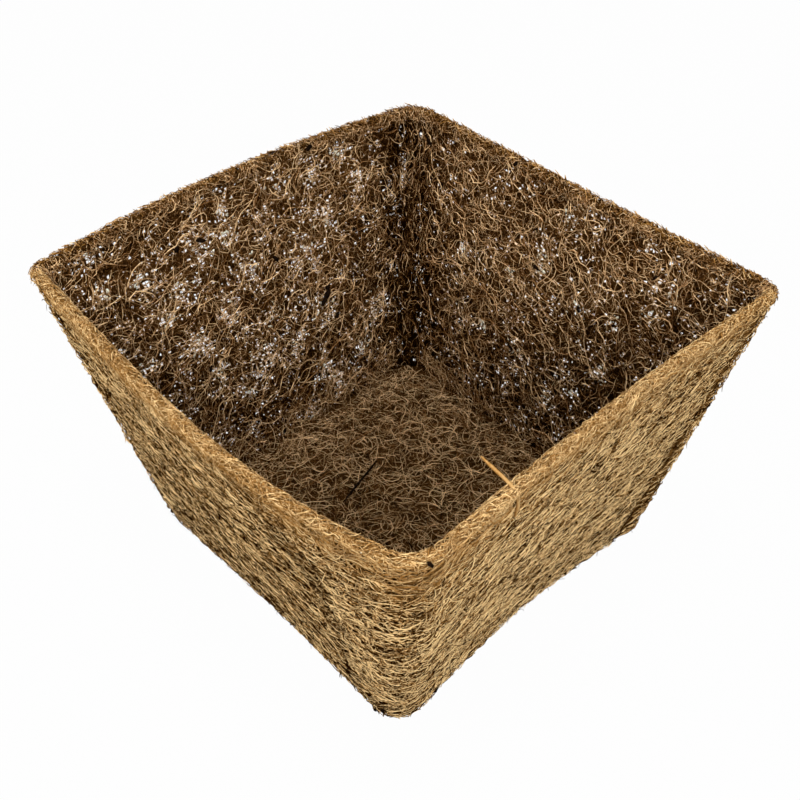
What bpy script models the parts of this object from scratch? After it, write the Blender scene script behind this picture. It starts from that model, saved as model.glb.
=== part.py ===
"""Square tapered basket of pressed coir felt: a base pad and four wall pieces.

Each wall is one strip of felt that runs on round a corner and is bonded to its neighbour in a lap,
half the felt's thickness each. Lengths are in metres, +Z is up, and the basket stands on z = 0
with the middle of its outline over the origin. The front wall faces -Y.
"""
from dataclasses import dataclass

import bmesh
import bpy
import numpy as np

# Overall sizes, outside the felt
RIM_SIDE = 0.250
BASE_SIDE = 0.190
HEIGHT = 0.162
FELT = 0.006
PAD_THICKNESS = 0.006
BOND_GAP = 0.0003

# The base was pressed a little out of line with the rim
BASE_SHIFT = 0.0015

# Rounding of the walls' cut edges and of the pad's upper edge
CUT_EDGE_ROUND = 0.0009
PAD_EDGE_ROUND = 0.0015

# How far each wall stands out of flat at the rim and at the foot. The front wall's rim also sags,
# and its curve is fullest past the middle (skew) and blunter than a sine (fullness).
FRONT_RIM_BOW = 0.007
FRONT_FOOT_BOW = -0.002
FRONT_RIM_SAG = 0.0065
FRONT_SKEW = 1.35
FRONT_FULLNESS = 0.8
RIGHT_RIM_BOW = -0.003
RIGHT_FOOT_BOW = -0.006
BACK_RIM_BOW = -0.001
BACK_FOOT_BOW = -0.002
LEFT_RIM_BOW = 0.0095
LEFT_FOOT_BOW = -0.0015

# Inner radius of each corner at the rim and at the foot
NEAR_RIM_RADIUS = 0.013
NEAR_FOOT_RADIUS = 0.008
RIGHT_RIM_RADIUS = 0.005
RIGHT_FOOT_RADIUS = 0.005
FAR_RIM_RADIUS = 0.012
FAR_FOOT_RADIUS = 0.009
LEFT_RIM_RADIUS = 0.004
LEFT_FOOT_RADIUS = 0.003

# How far the rim is pulled out of square at two corners, and each corner's rise
NEAR_RIM_OUT = 0.004
NEAR_RIM_BACK = 0.003
NEAR_RIM_RISE = 0.002
RIGHT_RIM_IN = 0.0025
RIGHT_RIM_RISE = -0.002
FAR_RIM_RISE = 0.002

# Width of the bonded lap beside each corner, at the rim and at the foot
NEAR_RIM_LAP = 0.030
NEAR_FOOT_LAP = 0.012
RIGHT_RIM_LAP = 0.006
RIGHT_FOOT_LAP = 0.012
FAR_RIM_LAP = 0.020
FAR_FOOT_LAP = 0.012
LEFT_RIM_LAP = 0.012
LEFT_FOOT_LAP = 0.006
LAP_PROUD = 0.0007

# Sections along each piece: levels in its height, columns along a wall, round a corner, over a lap
LEVELS = 7
WALL_COLUMNS = 17
CORNER_COLUMNS = 6
LAP_COLUMNS = 4
CUT_EDGE_SEGMENTS = 2

# Edges that turn by more than this many degrees are shaded sharp
SHARP_ANGLE = 40


@dataclass
class Corner:
    """One upright corner, by the signs of its x and y, with its rim and foot sizes."""
    x_sign: int
    y_sign: int
    radius: tuple
    lap: tuple
    rim_nudge: tuple = (0.0, 0.0)
    rise: float = 0.0


@dataclass
class Wall:
    """One wall from its start corner to its end corner, going round anticlockwise from above."""
    start: str
    end: str
    bow: tuple
    sag: float = 0.0
    skew: float = 1.0
    fullness: float = 1.0


CORNERS = {
    "left": Corner(-1, -1, (LEFT_FOOT_RADIUS, LEFT_RIM_RADIUS), (LEFT_FOOT_LAP, LEFT_RIM_LAP)),
    "near": Corner(1, -1, (NEAR_FOOT_RADIUS, NEAR_RIM_RADIUS), (NEAR_FOOT_LAP, NEAR_RIM_LAP),
                   (NEAR_RIM_OUT, NEAR_RIM_BACK), NEAR_RIM_RISE),
    "right": Corner(1, 1, (RIGHT_FOOT_RADIUS, RIGHT_RIM_RADIUS), (RIGHT_FOOT_LAP, RIGHT_RIM_LAP),
                    (-RIGHT_RIM_IN, 0.0), RIGHT_RIM_RISE),
    "far": Corner(-1, 1, (FAR_FOOT_RADIUS, FAR_RIM_RADIUS), (FAR_FOOT_LAP, FAR_RIM_LAP),
                  (0.0, 0.0), FAR_RIM_RISE),
}
WALLS = {
    "front": Wall("left", "near", (FRONT_FOOT_BOW, FRONT_RIM_BOW), FRONT_RIM_SAG,
                  FRONT_SKEW, FRONT_FULLNESS),
    "right": Wall("near", "right", (RIGHT_FOOT_BOW, RIGHT_RIM_BOW)),
    "back": Wall("right", "far", (BACK_FOOT_BOW, BACK_RIM_BOW)),
    "left": Wall("far", "left", (LEFT_FOOT_BOW, LEFT_RIM_BOW)),
}


def between(foot_and_rim, level):
    """Value at a level, 0 at the foot and 1 at the rim, between a foot and a rim value."""
    foot, rim = foot_and_rim
    return foot + (rim - foot) * level


def corner_place(name, level):
    """Where the outer faces of two walls would meet at a corner if it weren't rounded."""
    corner = CORNERS[name]
    half = between((BASE_SIDE, RIM_SIDE), level) / 2
    shift = np.array([0.0, BASE_SHIFT]) * (1 - level) + np.array(corner.rim_nudge) * level
    return np.array([corner.x_sign * half, corner.y_sign * half]) + shift


def outward(name, level):
    """Unit vector that points out of a wall, square to the line between its corners."""
    wall = WALLS[name]
    run = corner_place(wall.end, level) - corner_place(wall.start, level)
    run /= np.linalg.norm(run)
    return np.array([run[1], -run[0]])


def walls_at(corner_name):
    """The wall that ends at a corner and the wall that starts there."""
    ending = next(name for name, wall in WALLS.items() if wall.end == corner_name)
    starting = next(name for name, wall in WALLS.items() if wall.start == corner_name)
    return ending, starting


def arc_centre(corner_name, level):
    """Centre of a corner's rounding, which touches both walls' outer faces, and its outer radius."""
    ending, starting = walls_at(corner_name)
    first, second = outward(ending, level), outward(starting, level)
    radius = between(CORNERS[corner_name].radius, level) + FELT
    centre = corner_place(corner_name, level) - (first + second) * radius / (1 + first @ second)
    return centre, radius


def rim_height(corner_name):
    return HEIGHT + CORNERS[corner_name].rise


def wall_points(name, share, inset, level):
    """Points on a wall, share 0 to 1 between its rounded corners, inset from its outer face.

    The line between the corners carries a bow of sin(pi * share ** skew) ** fullness times the
    wall's bow at that level, and the rim sags by the same curve.
    """
    wall = WALLS[name]
    share, inset = np.broadcast_arrays(np.asarray(share, float), np.asarray(inset, float))
    level = np.broadcast_to(level, share.shape)
    points = np.empty((len(share), 3))
    for index, (along, depth, height) in enumerate(zip(share, inset, level)):
        normal = outward(name, height)
        first, first_radius = arc_centre(wall.start, height)
        last, last_radius = arc_centre(wall.end, height)
        start = first + normal * (first_radius - depth)
        end = last + normal * (last_radius - depth)
        swell = max(np.sin(np.pi * along ** wall.skew), 0.0) ** wall.fullness
        points[index, :2] = start + (end - start) * along + normal * between(wall.bow, height) * swell
        rim = between((rim_height(wall.start), rim_height(wall.end)), along) - wall.sag * swell
        points[index, 2] = rim * height
    return points


def corner_points(name, share, inset, level):
    """Points on a corner's rounding, share 0 to 1 from the ending wall to the starting wall."""
    ending, starting = walls_at(name)
    share, inset = np.broadcast_arrays(np.asarray(share, float), np.asarray(inset, float))
    level = np.broadcast_to(level, share.shape)
    points = np.empty((len(share), 3))
    for index, (turn, depth, height) in enumerate(zip(share, inset, level)):
        first, second = outward(ending, height), outward(starting, height)
        ray = np.cos(turn * np.pi / 2) * first + np.sin(turn * np.pi / 2) * second
        centre, radius = arc_centre(name, height)
        points[index, :2] = centre + ray / np.linalg.norm(ray) * (radius - depth)
        points[index, 2] = rim_height(name) * height
    return points


def wall_run(name, level):
    """Length of a wall between its rounded corners."""
    wall = WALLS[name]
    return np.linalg.norm(arc_centre(wall.end, level)[0] - arc_centre(wall.start, level)[0])


def outline_middle():
    """Middle of the box round the whole outline, so that the basket can stand over the origin."""
    shares = np.linspace(0, 1, WALL_COLUMNS)
    loops = [wall_points(name, shares, 0.0, level) for name in WALLS for level in (0.0, 1.0)]
    loops += [corner_points(name, shares, 0.0, level) for name in CORNERS for level in (0.0, 1.0)]
    points = np.vstack(loops)
    middle = (points.min(axis=0) + points.max(axis=0)) / 2
    return np.array([middle[0], middle[1], 0.0])


# A wall piece is made of three kinds of stretch. Its plan, going round, is an outer row of points
# and, on the way back, an inner row. A stretch gives both rows for one level.

def plain_wall(name, start, end, level):
    """Full thickness between two shares of a wall."""
    share = np.linspace(start, end, WALL_COLUMNS)
    return wall_points(name, share, 0.0, level), wall_points(name, share, FELT, level)


def plain_corner(name, level):
    """Full thickness round a corner."""
    share = np.linspace(0, 1, CORNER_COLUMNS)
    return corner_points(name, share, 0.0, level), corner_points(name, share, FELT, level)


def outer_tongue(name, at_start, lap, level):
    """Outer half of the felt over a neighbour's wall, rising to LAP_PROUD at its tip."""
    tip = lap / wall_run(name, level)
    share = np.linspace(0, tip, LAP_COLUMNS) if at_start else np.linspace(1 - tip, 1, LAP_COLUMNS)
    rise = np.linspace(0, 1, LAP_COLUMNS) if at_start else np.linspace(1, 0, LAP_COLUMNS)
    half = (FELT - BOND_GAP) / 2
    return wall_points(name, share, -LAP_PROUD * rise, level), wall_points(name, share, half, level)


def inner_tongue(name, at_start, lap, level):
    """Inner half of the felt, from the step beside a lap to the gap at the corner."""
    run = wall_run(name, level)
    step, gap = (lap + BOND_GAP) / run, BOND_GAP / run
    share = np.linspace(gap, step, LAP_COLUMNS) if at_start else np.linspace(1 - step, 1 - gap, LAP_COLUMNS)
    half = (FELT + BOND_GAP) / 2
    return wall_points(name, share, half, level), wall_points(name, share, FELT, level)


def step_share(name, corner_name, level):
    """Share of a wall's run taken up by a neighbour's tongue at one of its corners."""
    return (between(CORNERS[corner_name].lap, level) + BOND_GAP) / wall_run(name, level)


def lapped_wall(name, wraps_start, wraps_end, level):
    """Plan of a wall piece at one level, as a row of outer and a row of inner points.

    At a corner that it wraps, the piece goes round it and ends as an outer tongue on the
    neighbour. At a corner that the neighbour wraps, it ends as an inner tongue under it.
    """
    wall = WALLS[name]
    stretches = []
    start_share, end_share = 0.0, 1.0
    if wraps_start:
        previous = walls_at(wall.start)[0]
        lap = between(CORNERS[wall.start].lap, level)
        stretches.append(outer_tongue(previous, False, lap, level))
        stretches.append(plain_corner(wall.start, level))
    else:
        lap = between(CORNERS[wall.start].lap, level)
        stretches.append(inner_tongue(name, True, lap, level))
        start_share = step_share(name, wall.start, level)
    if not wraps_end:
        end_share = 1 - step_share(name, wall.end, level)
    stretches.append(plain_wall(name, start_share, end_share, level))
    lap = between(CORNERS[wall.end].lap, level)
    if wraps_end:
        following = walls_at(wall.end)[1]
        stretches.append(plain_corner(wall.end, level))
        stretches.append(outer_tongue(following, True, lap, level))
    else:
        stretches.append(inner_tongue(name, False, lap, level))
    outer = np.vstack([row for row, _ in stretches])
    inner = np.vstack([row for _, row in stretches])
    return outer, inner


def pad_ring(height, edge):
    """Outline of the base pad at a height, inside the walls by the bond gap and an edge rounding."""
    depth = FELT + BOND_GAP + edge
    rows = []
    for name, wall in WALLS.items():
        share = np.linspace(0, 1, WALL_COLUMNS)
        rim = wall_points(name, share, 0.0, 1.0)[:, 2]
        rows.append(wall_points(name, share, depth, height / rim))
        turn = np.linspace(0, 1, CORNER_COLUMNS)
        rim = rim_height(wall.end)
        rows.append(corner_points(wall.end, turn, depth, height / rim))
    return np.vstack(rows)


def without_repeats(ring):
    """Which points of a ring differ from the one before, so stretches that meet share a point."""
    step = np.linalg.norm(ring - np.roll(ring, 1, axis=0), axis=1)
    return step > BOND_GAP / 10


def split_across(outer, inner):
    """Cut a strip's end face in two at each inner point, across to the nearest outer point."""
    for vert in inner[1:-1]:
        nearest = min(outer, key=lambda other: (other.co - vert.co).length)
        face = next(face for face in vert.link_faces if face in nearest.link_faces)
        bmesh.utils.face_split(face, vert, nearest)


def loft(name, rings, edge_round, outer_count=0):
    """Closed solid through rings of equal count, foot first, with its end faces' edges rounded.

    A ring of a strip of felt starts with outer_count points of its outer side, and its end
    faces are cut across, because they bend with the rim.
    """
    rings = np.array(rings) - outline_middle()
    kept = without_repeats(rings[0])
    outer_kept = int(kept[:outer_count].sum())
    rings = rings[:, kept]
    shape = bmesh.new()
    verts = [[shape.verts.new(point) for point in ring] for ring in rings]
    for lower, upper in zip(verts[:-1], verts[1:]):
        following = zip(lower, lower[1:] + lower[:1], upper[1:] + upper[:1], upper)
        for corners in following:
            shape.faces.new(corners)
    ends = [shape.faces.new(verts[0][::-1]), shape.faces.new(verts[-1])]
    cut_edges = list({edge for face in ends for edge in face.edges})
    if outer_count:
        split_across(verts[0][:outer_kept], verts[0][outer_kept:])
        split_across(verts[-1][:outer_kept], verts[-1][outer_kept:])
    bmesh.ops.bevel(shape, geom=cut_edges, offset=edge_round, segments=CUT_EDGE_SEGMENTS,
                    affect="EDGES", profile=0.5, clamp_overlap=True)
    bmesh.ops.recalc_face_normals(shape, faces=shape.faces)
    mesh = bpy.data.meshes.new(name)
    shape.to_mesh(mesh)
    shape.free()
    mesh.shade_smooth()
    mesh.set_sharp_from_angle(angle=np.radians(SHARP_ANGLE))
    return bpy.data.objects.new(name, mesh)


def coir(name, colour, roughness):
    """Plain stand-in for the felt's finish."""
    material = bpy.data.materials.new(name)
    material.use_nodes = True
    shader = material.node_tree.nodes["Principled BSDF"]
    shader.inputs["Base Color"].default_value = (*colour, 1.0)
    shader.inputs["Roughness"].default_value = roughness
    shader.inputs["Metallic"].default_value = 0.0
    return material


def wall_piece(name, wraps_start, wraps_end):
    """Wall lofted from foot to rim, which wraps the corners that it is told to."""
    plans = [lapped_wall(name, wraps_start, wraps_end, level) for level in np.linspace(0, 1, LEVELS)]
    rings = [np.vstack([outer, inner[::-1]]) for outer, inner in plans]
    return loft(name + "_wall", rings, CUT_EDGE_ROUND, len(plans[0][0]))


def base_piece():
    """Pad inside the walls' foot, with their slope and bows."""
    return loft("base_pad", [pad_ring(0.0, 0.0), pad_ring(PAD_THICKNESS, 0.0)], PAD_EDGE_ROUND)


def clear_scene():
    for item in list(bpy.data.objects):
        bpy.data.objects.remove(item, do_unlink=True)


def main():
    clear_scene()
    parts = bpy.data.collections.new("coir_basket")
    bpy.context.scene.collection.children.link(parts)
    pieces = [
        (base_piece(), coir("pad_felt", (0.17, 0.11, 0.055), 0.95)),
        (wall_piece("front", False, False), coir("front_felt", (0.42, 0.28, 0.13), 0.9)),
        (wall_piece("right", True, False), coir("right_felt", (0.45, 0.30, 0.14), 0.9)),
        (wall_piece("back", True, True), coir("back_felt", (0.36, 0.23, 0.10), 0.92)),
        (wall_piece("left", False, True), coir("left_felt", (0.38, 0.25, 0.11), 0.92)),
    ]
    for piece, material in pieces:
        piece.data.materials.append(material)
        parts.objects.link(piece)


main()
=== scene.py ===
"""Looks of a square tapered basket of coir felt, golden outside and brown inside.

Every wall is dressed with its own coconut fibres: a combed layer outside, a tangled layer inside,
and cut ends along the rim. Lengths are in metres, +Z is up, and the basket stands on z = 0.
"""
from dataclasses import dataclass

import bpy
import numpy as np
from mathutils import Matrix, Vector


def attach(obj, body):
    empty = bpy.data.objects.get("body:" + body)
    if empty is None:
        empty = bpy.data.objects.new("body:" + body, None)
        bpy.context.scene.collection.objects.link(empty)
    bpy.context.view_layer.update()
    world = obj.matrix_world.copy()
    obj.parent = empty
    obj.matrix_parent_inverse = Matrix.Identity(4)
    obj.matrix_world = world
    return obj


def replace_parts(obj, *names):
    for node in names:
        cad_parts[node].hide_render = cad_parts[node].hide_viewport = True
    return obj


bl_info = {
    "name": "Coir basket",
    "version": (1, 0, 0),
    "blender": (4, 5, 0),
    "location": "3D View > Sidebar > Basket",
    "description": "Felt, fibres, rim and stage of a square coir basket",
    "category": "Object",
}

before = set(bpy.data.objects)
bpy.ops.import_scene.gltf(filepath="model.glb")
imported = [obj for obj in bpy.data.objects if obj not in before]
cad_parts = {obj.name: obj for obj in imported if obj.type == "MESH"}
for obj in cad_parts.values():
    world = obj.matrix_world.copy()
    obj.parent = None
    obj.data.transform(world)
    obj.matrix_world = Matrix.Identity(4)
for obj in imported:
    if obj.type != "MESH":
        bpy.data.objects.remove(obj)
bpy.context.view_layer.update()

# Plan of the basket. Corners go anticlockwise from above: left, near, right, far. Wall number k
# runs from corner k to the next one: front, right, back, left.
WALL_NAMES = ("front_wall", "right_wall", "back_wall", "left_wall")
FRONT, RIGHT, BACK, LEFT = range(4)
CORNER_SIGNS = np.array([(-1, -1), (1, -1), (1, 1), (-1, 1)], float)
RIM_SIDE, BASE_SIDE, HEIGHT = 0.250, 0.190, 0.162
FELT, PAD_THICKNESS = 0.006, 0.006
BASE_SHIFT = np.array([0.0, 0.0015])
# By corner: shift of its rim in X and Y, rise of its rim, and its inner rounding and the length
# of its lap, both at the foot and at the rim
RIM_NUDGE = np.array([(0, 0), (0.004, 0.003), (-0.0025, 0), (0, 0)])
RIM_RISE = np.array([0.0, 0.002, -0.002, 0.002])
INNER_RADIUS = np.array([(0.003, 0.004), (0.008, 0.013), (0.005, 0.005), (0.009, 0.012)])
LAP = np.array([(0.001, 0.007), (0.012, 0.030), (0.014, 0.006), (0.012, 0.020)])
# By wall: bow outward at the foot and at the rim, sag of the rim, and how far their curve is
# skewed along the wall and how full it is, where 1 is a plain sine
BOW = np.array([(-0.002, 0.007), (-0.006, -0.003), (-0.002, -0.001), (-0.0015, 0.0095)])
SAG = np.array([0.0065, 0.0, 0.0, 0.0])
SKEW = np.array([1.35, 1.0, 1.0, 1.0])
FULLNESS = np.array([0.8, 1.0, 1.0, 1.0])

# The corner towards the camera and the one away from it
NEAR_CORNER, FAR_CORNER = 1, 3
UP = np.array([0, 0, 1.0])

# Points along a fibre before it is cut to length
TRACE = 33

# Share of the fibres that are split pairs, with painted shade along their crest, and their extra width
PAIRED, PAIR_WIDTH = 0.35, 1.35

# Spread of the logarithm of a fibre's width, and how much more loose fibres on the outside curl
WIDTH_SPREAD, LOOSE_CURL = 0.3, 1.8

# Rounded joint between the walls and the floor, inside
COVE_RADIUS = 0.008

# Spread of the loose fibres' headings in radians, and how long one sway in depth is in metres
ANY_WAY, SWAY_LENGTH = 0.9, 0.016

# Heading and its spread, in radians, of the steep fibres by the far corner, the share of them
# right beside it, and in metres how soon that share falls
STEEP, STEEP_SPREAD, STEEP_SHARE, STEEP_REACH = 1.1, 0.25, 0.8, 0.028

# Middle of the outside tones, lighter tone that the fibres under the rim are evened out towards,
# and the painted light of each wall's outside: darker on the front and lighter on the right
MIDDLE_TONE, SOFT_TONE = 0.45, 0.64
OUTSIDE_PAINTED_LIGHT = {FRONT: -0.11, RIGHT: 0.13, BACK: 0.0, LEFT: 0.0}

# Most that painted light and shade change the tone inside: painted shade at the foot and by the far
# corner, painted light in the thin places, and painted light over the back wall with painted shade at
# its foot. Then outside: painted shade at the foot, more at the front's foot, and by the near corner
INNER_FOOT_SHADE, INNER_CORNER_SHADE, INNER_THIN_LIGHT, INNER_BACK_LIGHT, BACK_FOOT_SHADE = -0.28, -0.36, 0.14, 0.03, -0.11
OUTER_FOOT_SHADE, FRONT_FOOT_SHADE, OUTER_CORNER_SHADE = -0.15, -0.14, -0.05

# Grid points along and up the felt cores: of the far walls, which are pierced, and of the near
FAR_CORE_POINTS, NEAR_CORE_POINTS = (132, 94), (70, 44)

# The photograph's camera, in metres and degrees
CAMERA_PLACE = (0.28310, -0.26965, 0.43493)
CAMERA_AZIMUTH, CAMERA_ELEVATION, CAMERA_ROLL = 46.032, 41.711, 0.855

# Place and size of each lamp, and the place that they all face
LAMPS = {"key": ((1.0, -0.55, 0.8), 0.45), "fill": ((-0.45, -1.1, 0.8), 0.6), "top": ((0.1, -0.1, 1.6), 0.45)}
LAMP_TARGET = Vector((0, 0, 0.08))

# Start of every random draw
SEED = 11


def between(foot_and_rim, level):
    """Value at each level, 0 at the foot and 1 at the rim. The pair may be one row for each corner."""
    pair = np.asarray(foot_and_rim, float)
    foot, rim = pair[..., 0, None], pair[..., 1, None]
    return foot + (rim - foot) * level


def plan(level):
    """Rounding centres, roundings and outward directions of the square at each level.

    A corner is half the side out from the middle both ways, plus its shift. Outward is square to
    the line between two corners. The rounding's centre touches both walls that meet there.
    """
    half = between((BASE_SIDE, RIM_SIDE), level) / 2
    place = (CORNER_SIGNS[:, None] * half[:, None] + BASE_SHIFT * (1 - level)[:, None]
             + RIM_NUDGE[:, None] * level[:, None])
    run = np.roll(place, -1, axis=0) - place
    run /= np.linalg.norm(run, axis=-1, keepdims=True)
    outward = np.stack([run[..., 1], -run[..., 0]], axis=-1)
    ending = np.roll(outward, 1, axis=0)
    radius = between(INNER_RADIUS, level) + FELT
    facing = 1 + (ending * outward).sum(axis=-1)
    centre = place - (ending + outward) * (radius / facing)[..., None]
    return centre, radius, outward


def wall_run(wall, level):
    """Length of a wall between its rounded corners at each level."""
    centre = plan(level)[0]
    return np.linalg.norm(centre[(wall + 1) % 4] - centre[wall], axis=-1)


def corner_run(corner, level):
    """Length of a quarter circle round a corner's outer face."""
    return (between(INNER_RADIUS[corner], level) + FELT) * np.pi / 2


def station(wall, along, level):
    """Station round the basket of a distance along from a wall's middle.

    Stations 2k to 2k+1 are the flat of wall k and 2k+1 to 2k+2 the corner after it, each
    counted evenly along its own length at that level.
    """
    lengths = np.stack([length for k in range(4)
                        for length in (wall_run(k, level), corner_run((k + 1) % 4, level))])
    ends = np.cumsum(lengths, axis=0)
    starts = ends - lengths
    reach = (starts[2 * wall] + lengths[2 * wall] / 2 + along) % ends[-1]
    index = np.minimum((reach >= ends).sum(axis=0), 7)
    column = np.arange(len(level))
    return index + (reach - starts[index, column]) / lengths[index, column]


def shell(where, level, inset):
    """Points at stations and levels, inset from the outer face, and the outward direction there.

    A flat is the line between two roundings plus bow * sin(pi * share ** skew) ** fullness
    outward, and its rim sags by the same curve. A corner is a quarter circle.
    """
    index = np.floor(where).astype(int) % 8
    share = where - np.floor(where)
    wall, column = index // 2, np.arange(len(where))
    following = (wall + 1) % 4
    centre, radius, outward = plan(level)
    normal = outward[wall, column]
    start = centre[wall, column] + normal * (radius[wall, column] - inset)[:, None]
    end = centre[following, column] + normal * (radius[following, column] - inset)[:, None]
    swell = np.maximum(np.sin(np.pi * share ** SKEW[wall]), 0) ** FULLNESS[wall]
    bow = (BOW[wall, 0] + (BOW[wall, 1] - BOW[wall, 0]) * level) * swell
    flat = start + (end - start) * share[:, None] + normal * bow[:, None]
    rise = RIM_RISE[wall] + (RIM_RISE[following] - RIM_RISE[wall]) * share - SAG[wall] * swell
    turn = share * np.pi / 2
    ray = np.cos(turn)[:, None] * normal + np.sin(turn)[:, None] * outward[following, column]
    ray /= np.linalg.norm(ray, axis=-1, keepdims=True)
    arc = centre[following, column] + ray * (radius[following, column] - inset)[:, None]
    rounded = index % 2 == 1
    flat_or_arc = np.where(rounded[:, None], arc, flat)
    height = (HEIGHT + np.where(rounded, RIM_RISE[following], rise)) * level
    points = np.column_stack([flat_or_arc - MIDDLE, height])
    facing = np.column_stack([np.where(rounded[:, None], ray, normal), np.zeros(len(where))])
    return points, facing


def on_felt(wall, along, level, inset):
    """Points and outward directions at places of a wall, in the shape that the arrays have together."""
    along, level, inset = np.broadcast_arrays(along, level, inset)
    level = level.ravel()
    points, outward = shell(station(wall, along.ravel(), level), level, inset.ravel())
    return points.reshape(*along.shape, 3), outward.reshape(*along.shape, 3)


def outline_middle():
    """Middle of the box round the outer outlines at the foot and the rim."""
    where = np.tile(np.arange(0, 8, 1 / 16), 2)
    level = np.repeat([0.0, 1.0], len(where) // 2)
    points = shell(where, level, np.zeros(len(where)))[0]
    return (points.min(axis=0) + points.max(axis=0))[:2] / 2


MIDDLE = np.zeros(2)
MIDDLE = outline_middle()


def wander(rng, middle, heading, length, curl, waver):
    """Lines in a plane, as (line, point, 2).

    A line's direction is its heading, plus curl times the distance from its middle, plus waver
    times two sine waves. Its points add up equal steps in that direction, and it is centred on
    its middle.
    """
    share = np.linspace(-0.5, 0.5, TRACE)
    phase = rng.uniform(0, 2 * np.pi, (2, len(heading), 1))
    waves = np.sin(9 * share + phase[0]) + 0.6 * np.sin(21 * share + phase[1])
    turn = heading[:, None] + (curl * length)[:, None] * share + waver[:, None] * waves
    step = (length / (TRACE - 1))[:, None, None] * np.stack([np.cos(turn), np.sin(turn)], axis=-1)
    line = np.cumsum(step, axis=1)
    return middle[:, None] + line - line[:, TRACE // 2, None]


def swaying(rng, shape, turning, start=6.3):
    """Sine along lines of a shape (line, point) that turns through so many radians from a random start."""
    return np.sin(turning * np.linspace(0, 1, shape[1]) + rng.uniform(0, start, (shape[0], 1)))


def varied(rng, usual, count):
    """Lengths round a usual one, most of them half to one and a half times as long."""
    return usual * rng.gamma(5, 0.2, count)


def unsteady(rng, usual, count):
    """Wavers from 0.3 to 1.4 times a usual one."""
    return usual * rng.uniform(0.3, 1.4, count)


def all_round(rng, count):
    """Headings in all directions."""
    return rng.uniform(0, 2 * np.pi, count)


def joined(parts):
    """Arrays of each kind in a list of tuples, joined end to end."""
    return [np.concatenate(kind) for kind in zip(*parts)]


def cut_lines(lines, inside, segments):
    """Lines cut to the stretch round their middles that lies inside, in equal segments.

    Also says which of the lines are long enough to keep.
    """
    order = np.arange(TRACE)
    first = np.where(~inside & (order <= TRACE // 2), order, -1).max(axis=1) + 1
    last = np.where(~inside & (order >= TRACE // 2), order, TRACE).min(axis=1) - 1
    kept = last - first >= TRACE // 6
    place = first[kept, None] + (last - first)[kept, None] * np.linspace(0, 1, segments + 1)
    lower = np.minimum(place.astype(int), TRACE - 2)
    part = (place - lower)[..., None]
    row = np.flatnonzero(kept)[:, None]
    return lines[row, lower] * (1 - part) + lines[row, lower + 1] * part, kept


def mesh_piece(name, points, faces, material):
    """Object at the origin from points and faces, given as arrays of equal-sided faces."""
    mesh = bpy.data.meshes.new(name)
    mesh.vertices.add(len(points))
    mesh.vertices.foreach_set("co", np.asarray(points, np.float32).ravel())
    corners = np.concatenate([group.ravel() for group in faces])
    totals = np.concatenate([np.full(len(group), group.shape[1]) for group in faces])
    mesh.loops.add(len(corners))
    mesh.loops.foreach_set("vertex_index", corners.astype(np.int32))
    mesh.polygons.add(len(totals))
    starts = np.concatenate([[0], np.cumsum(totals)[:-1]])
    mesh.polygons.foreach_set("loop_start", starts.astype(np.int32))
    mesh.polygons.foreach_set("use_smooth", np.ones(len(totals), bool))
    mesh.update(calc_edges=True)
    mesh.materials.append(material)
    piece = bpy.data.objects.new(name, mesh)
    bpy.context.scene.collection.objects.link(piece)
    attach(piece, "root")
    return piece


def put_map(piece, name, places):
    """UV map of a piece from one place for each face corner."""
    layer = piece.data.uv_layers.new(name=name)
    layer.uv.foreach_set("vector", np.asarray(places, np.float32).ravel())


def put_value(piece, name, values):
    """Value for each point, such as its tone, which the colours are read from."""
    made = piece.data.attributes.new(name, "FLOAT", "POINT")
    made.data.foreach_set("value", values.astype(np.float32).ravel())


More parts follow.
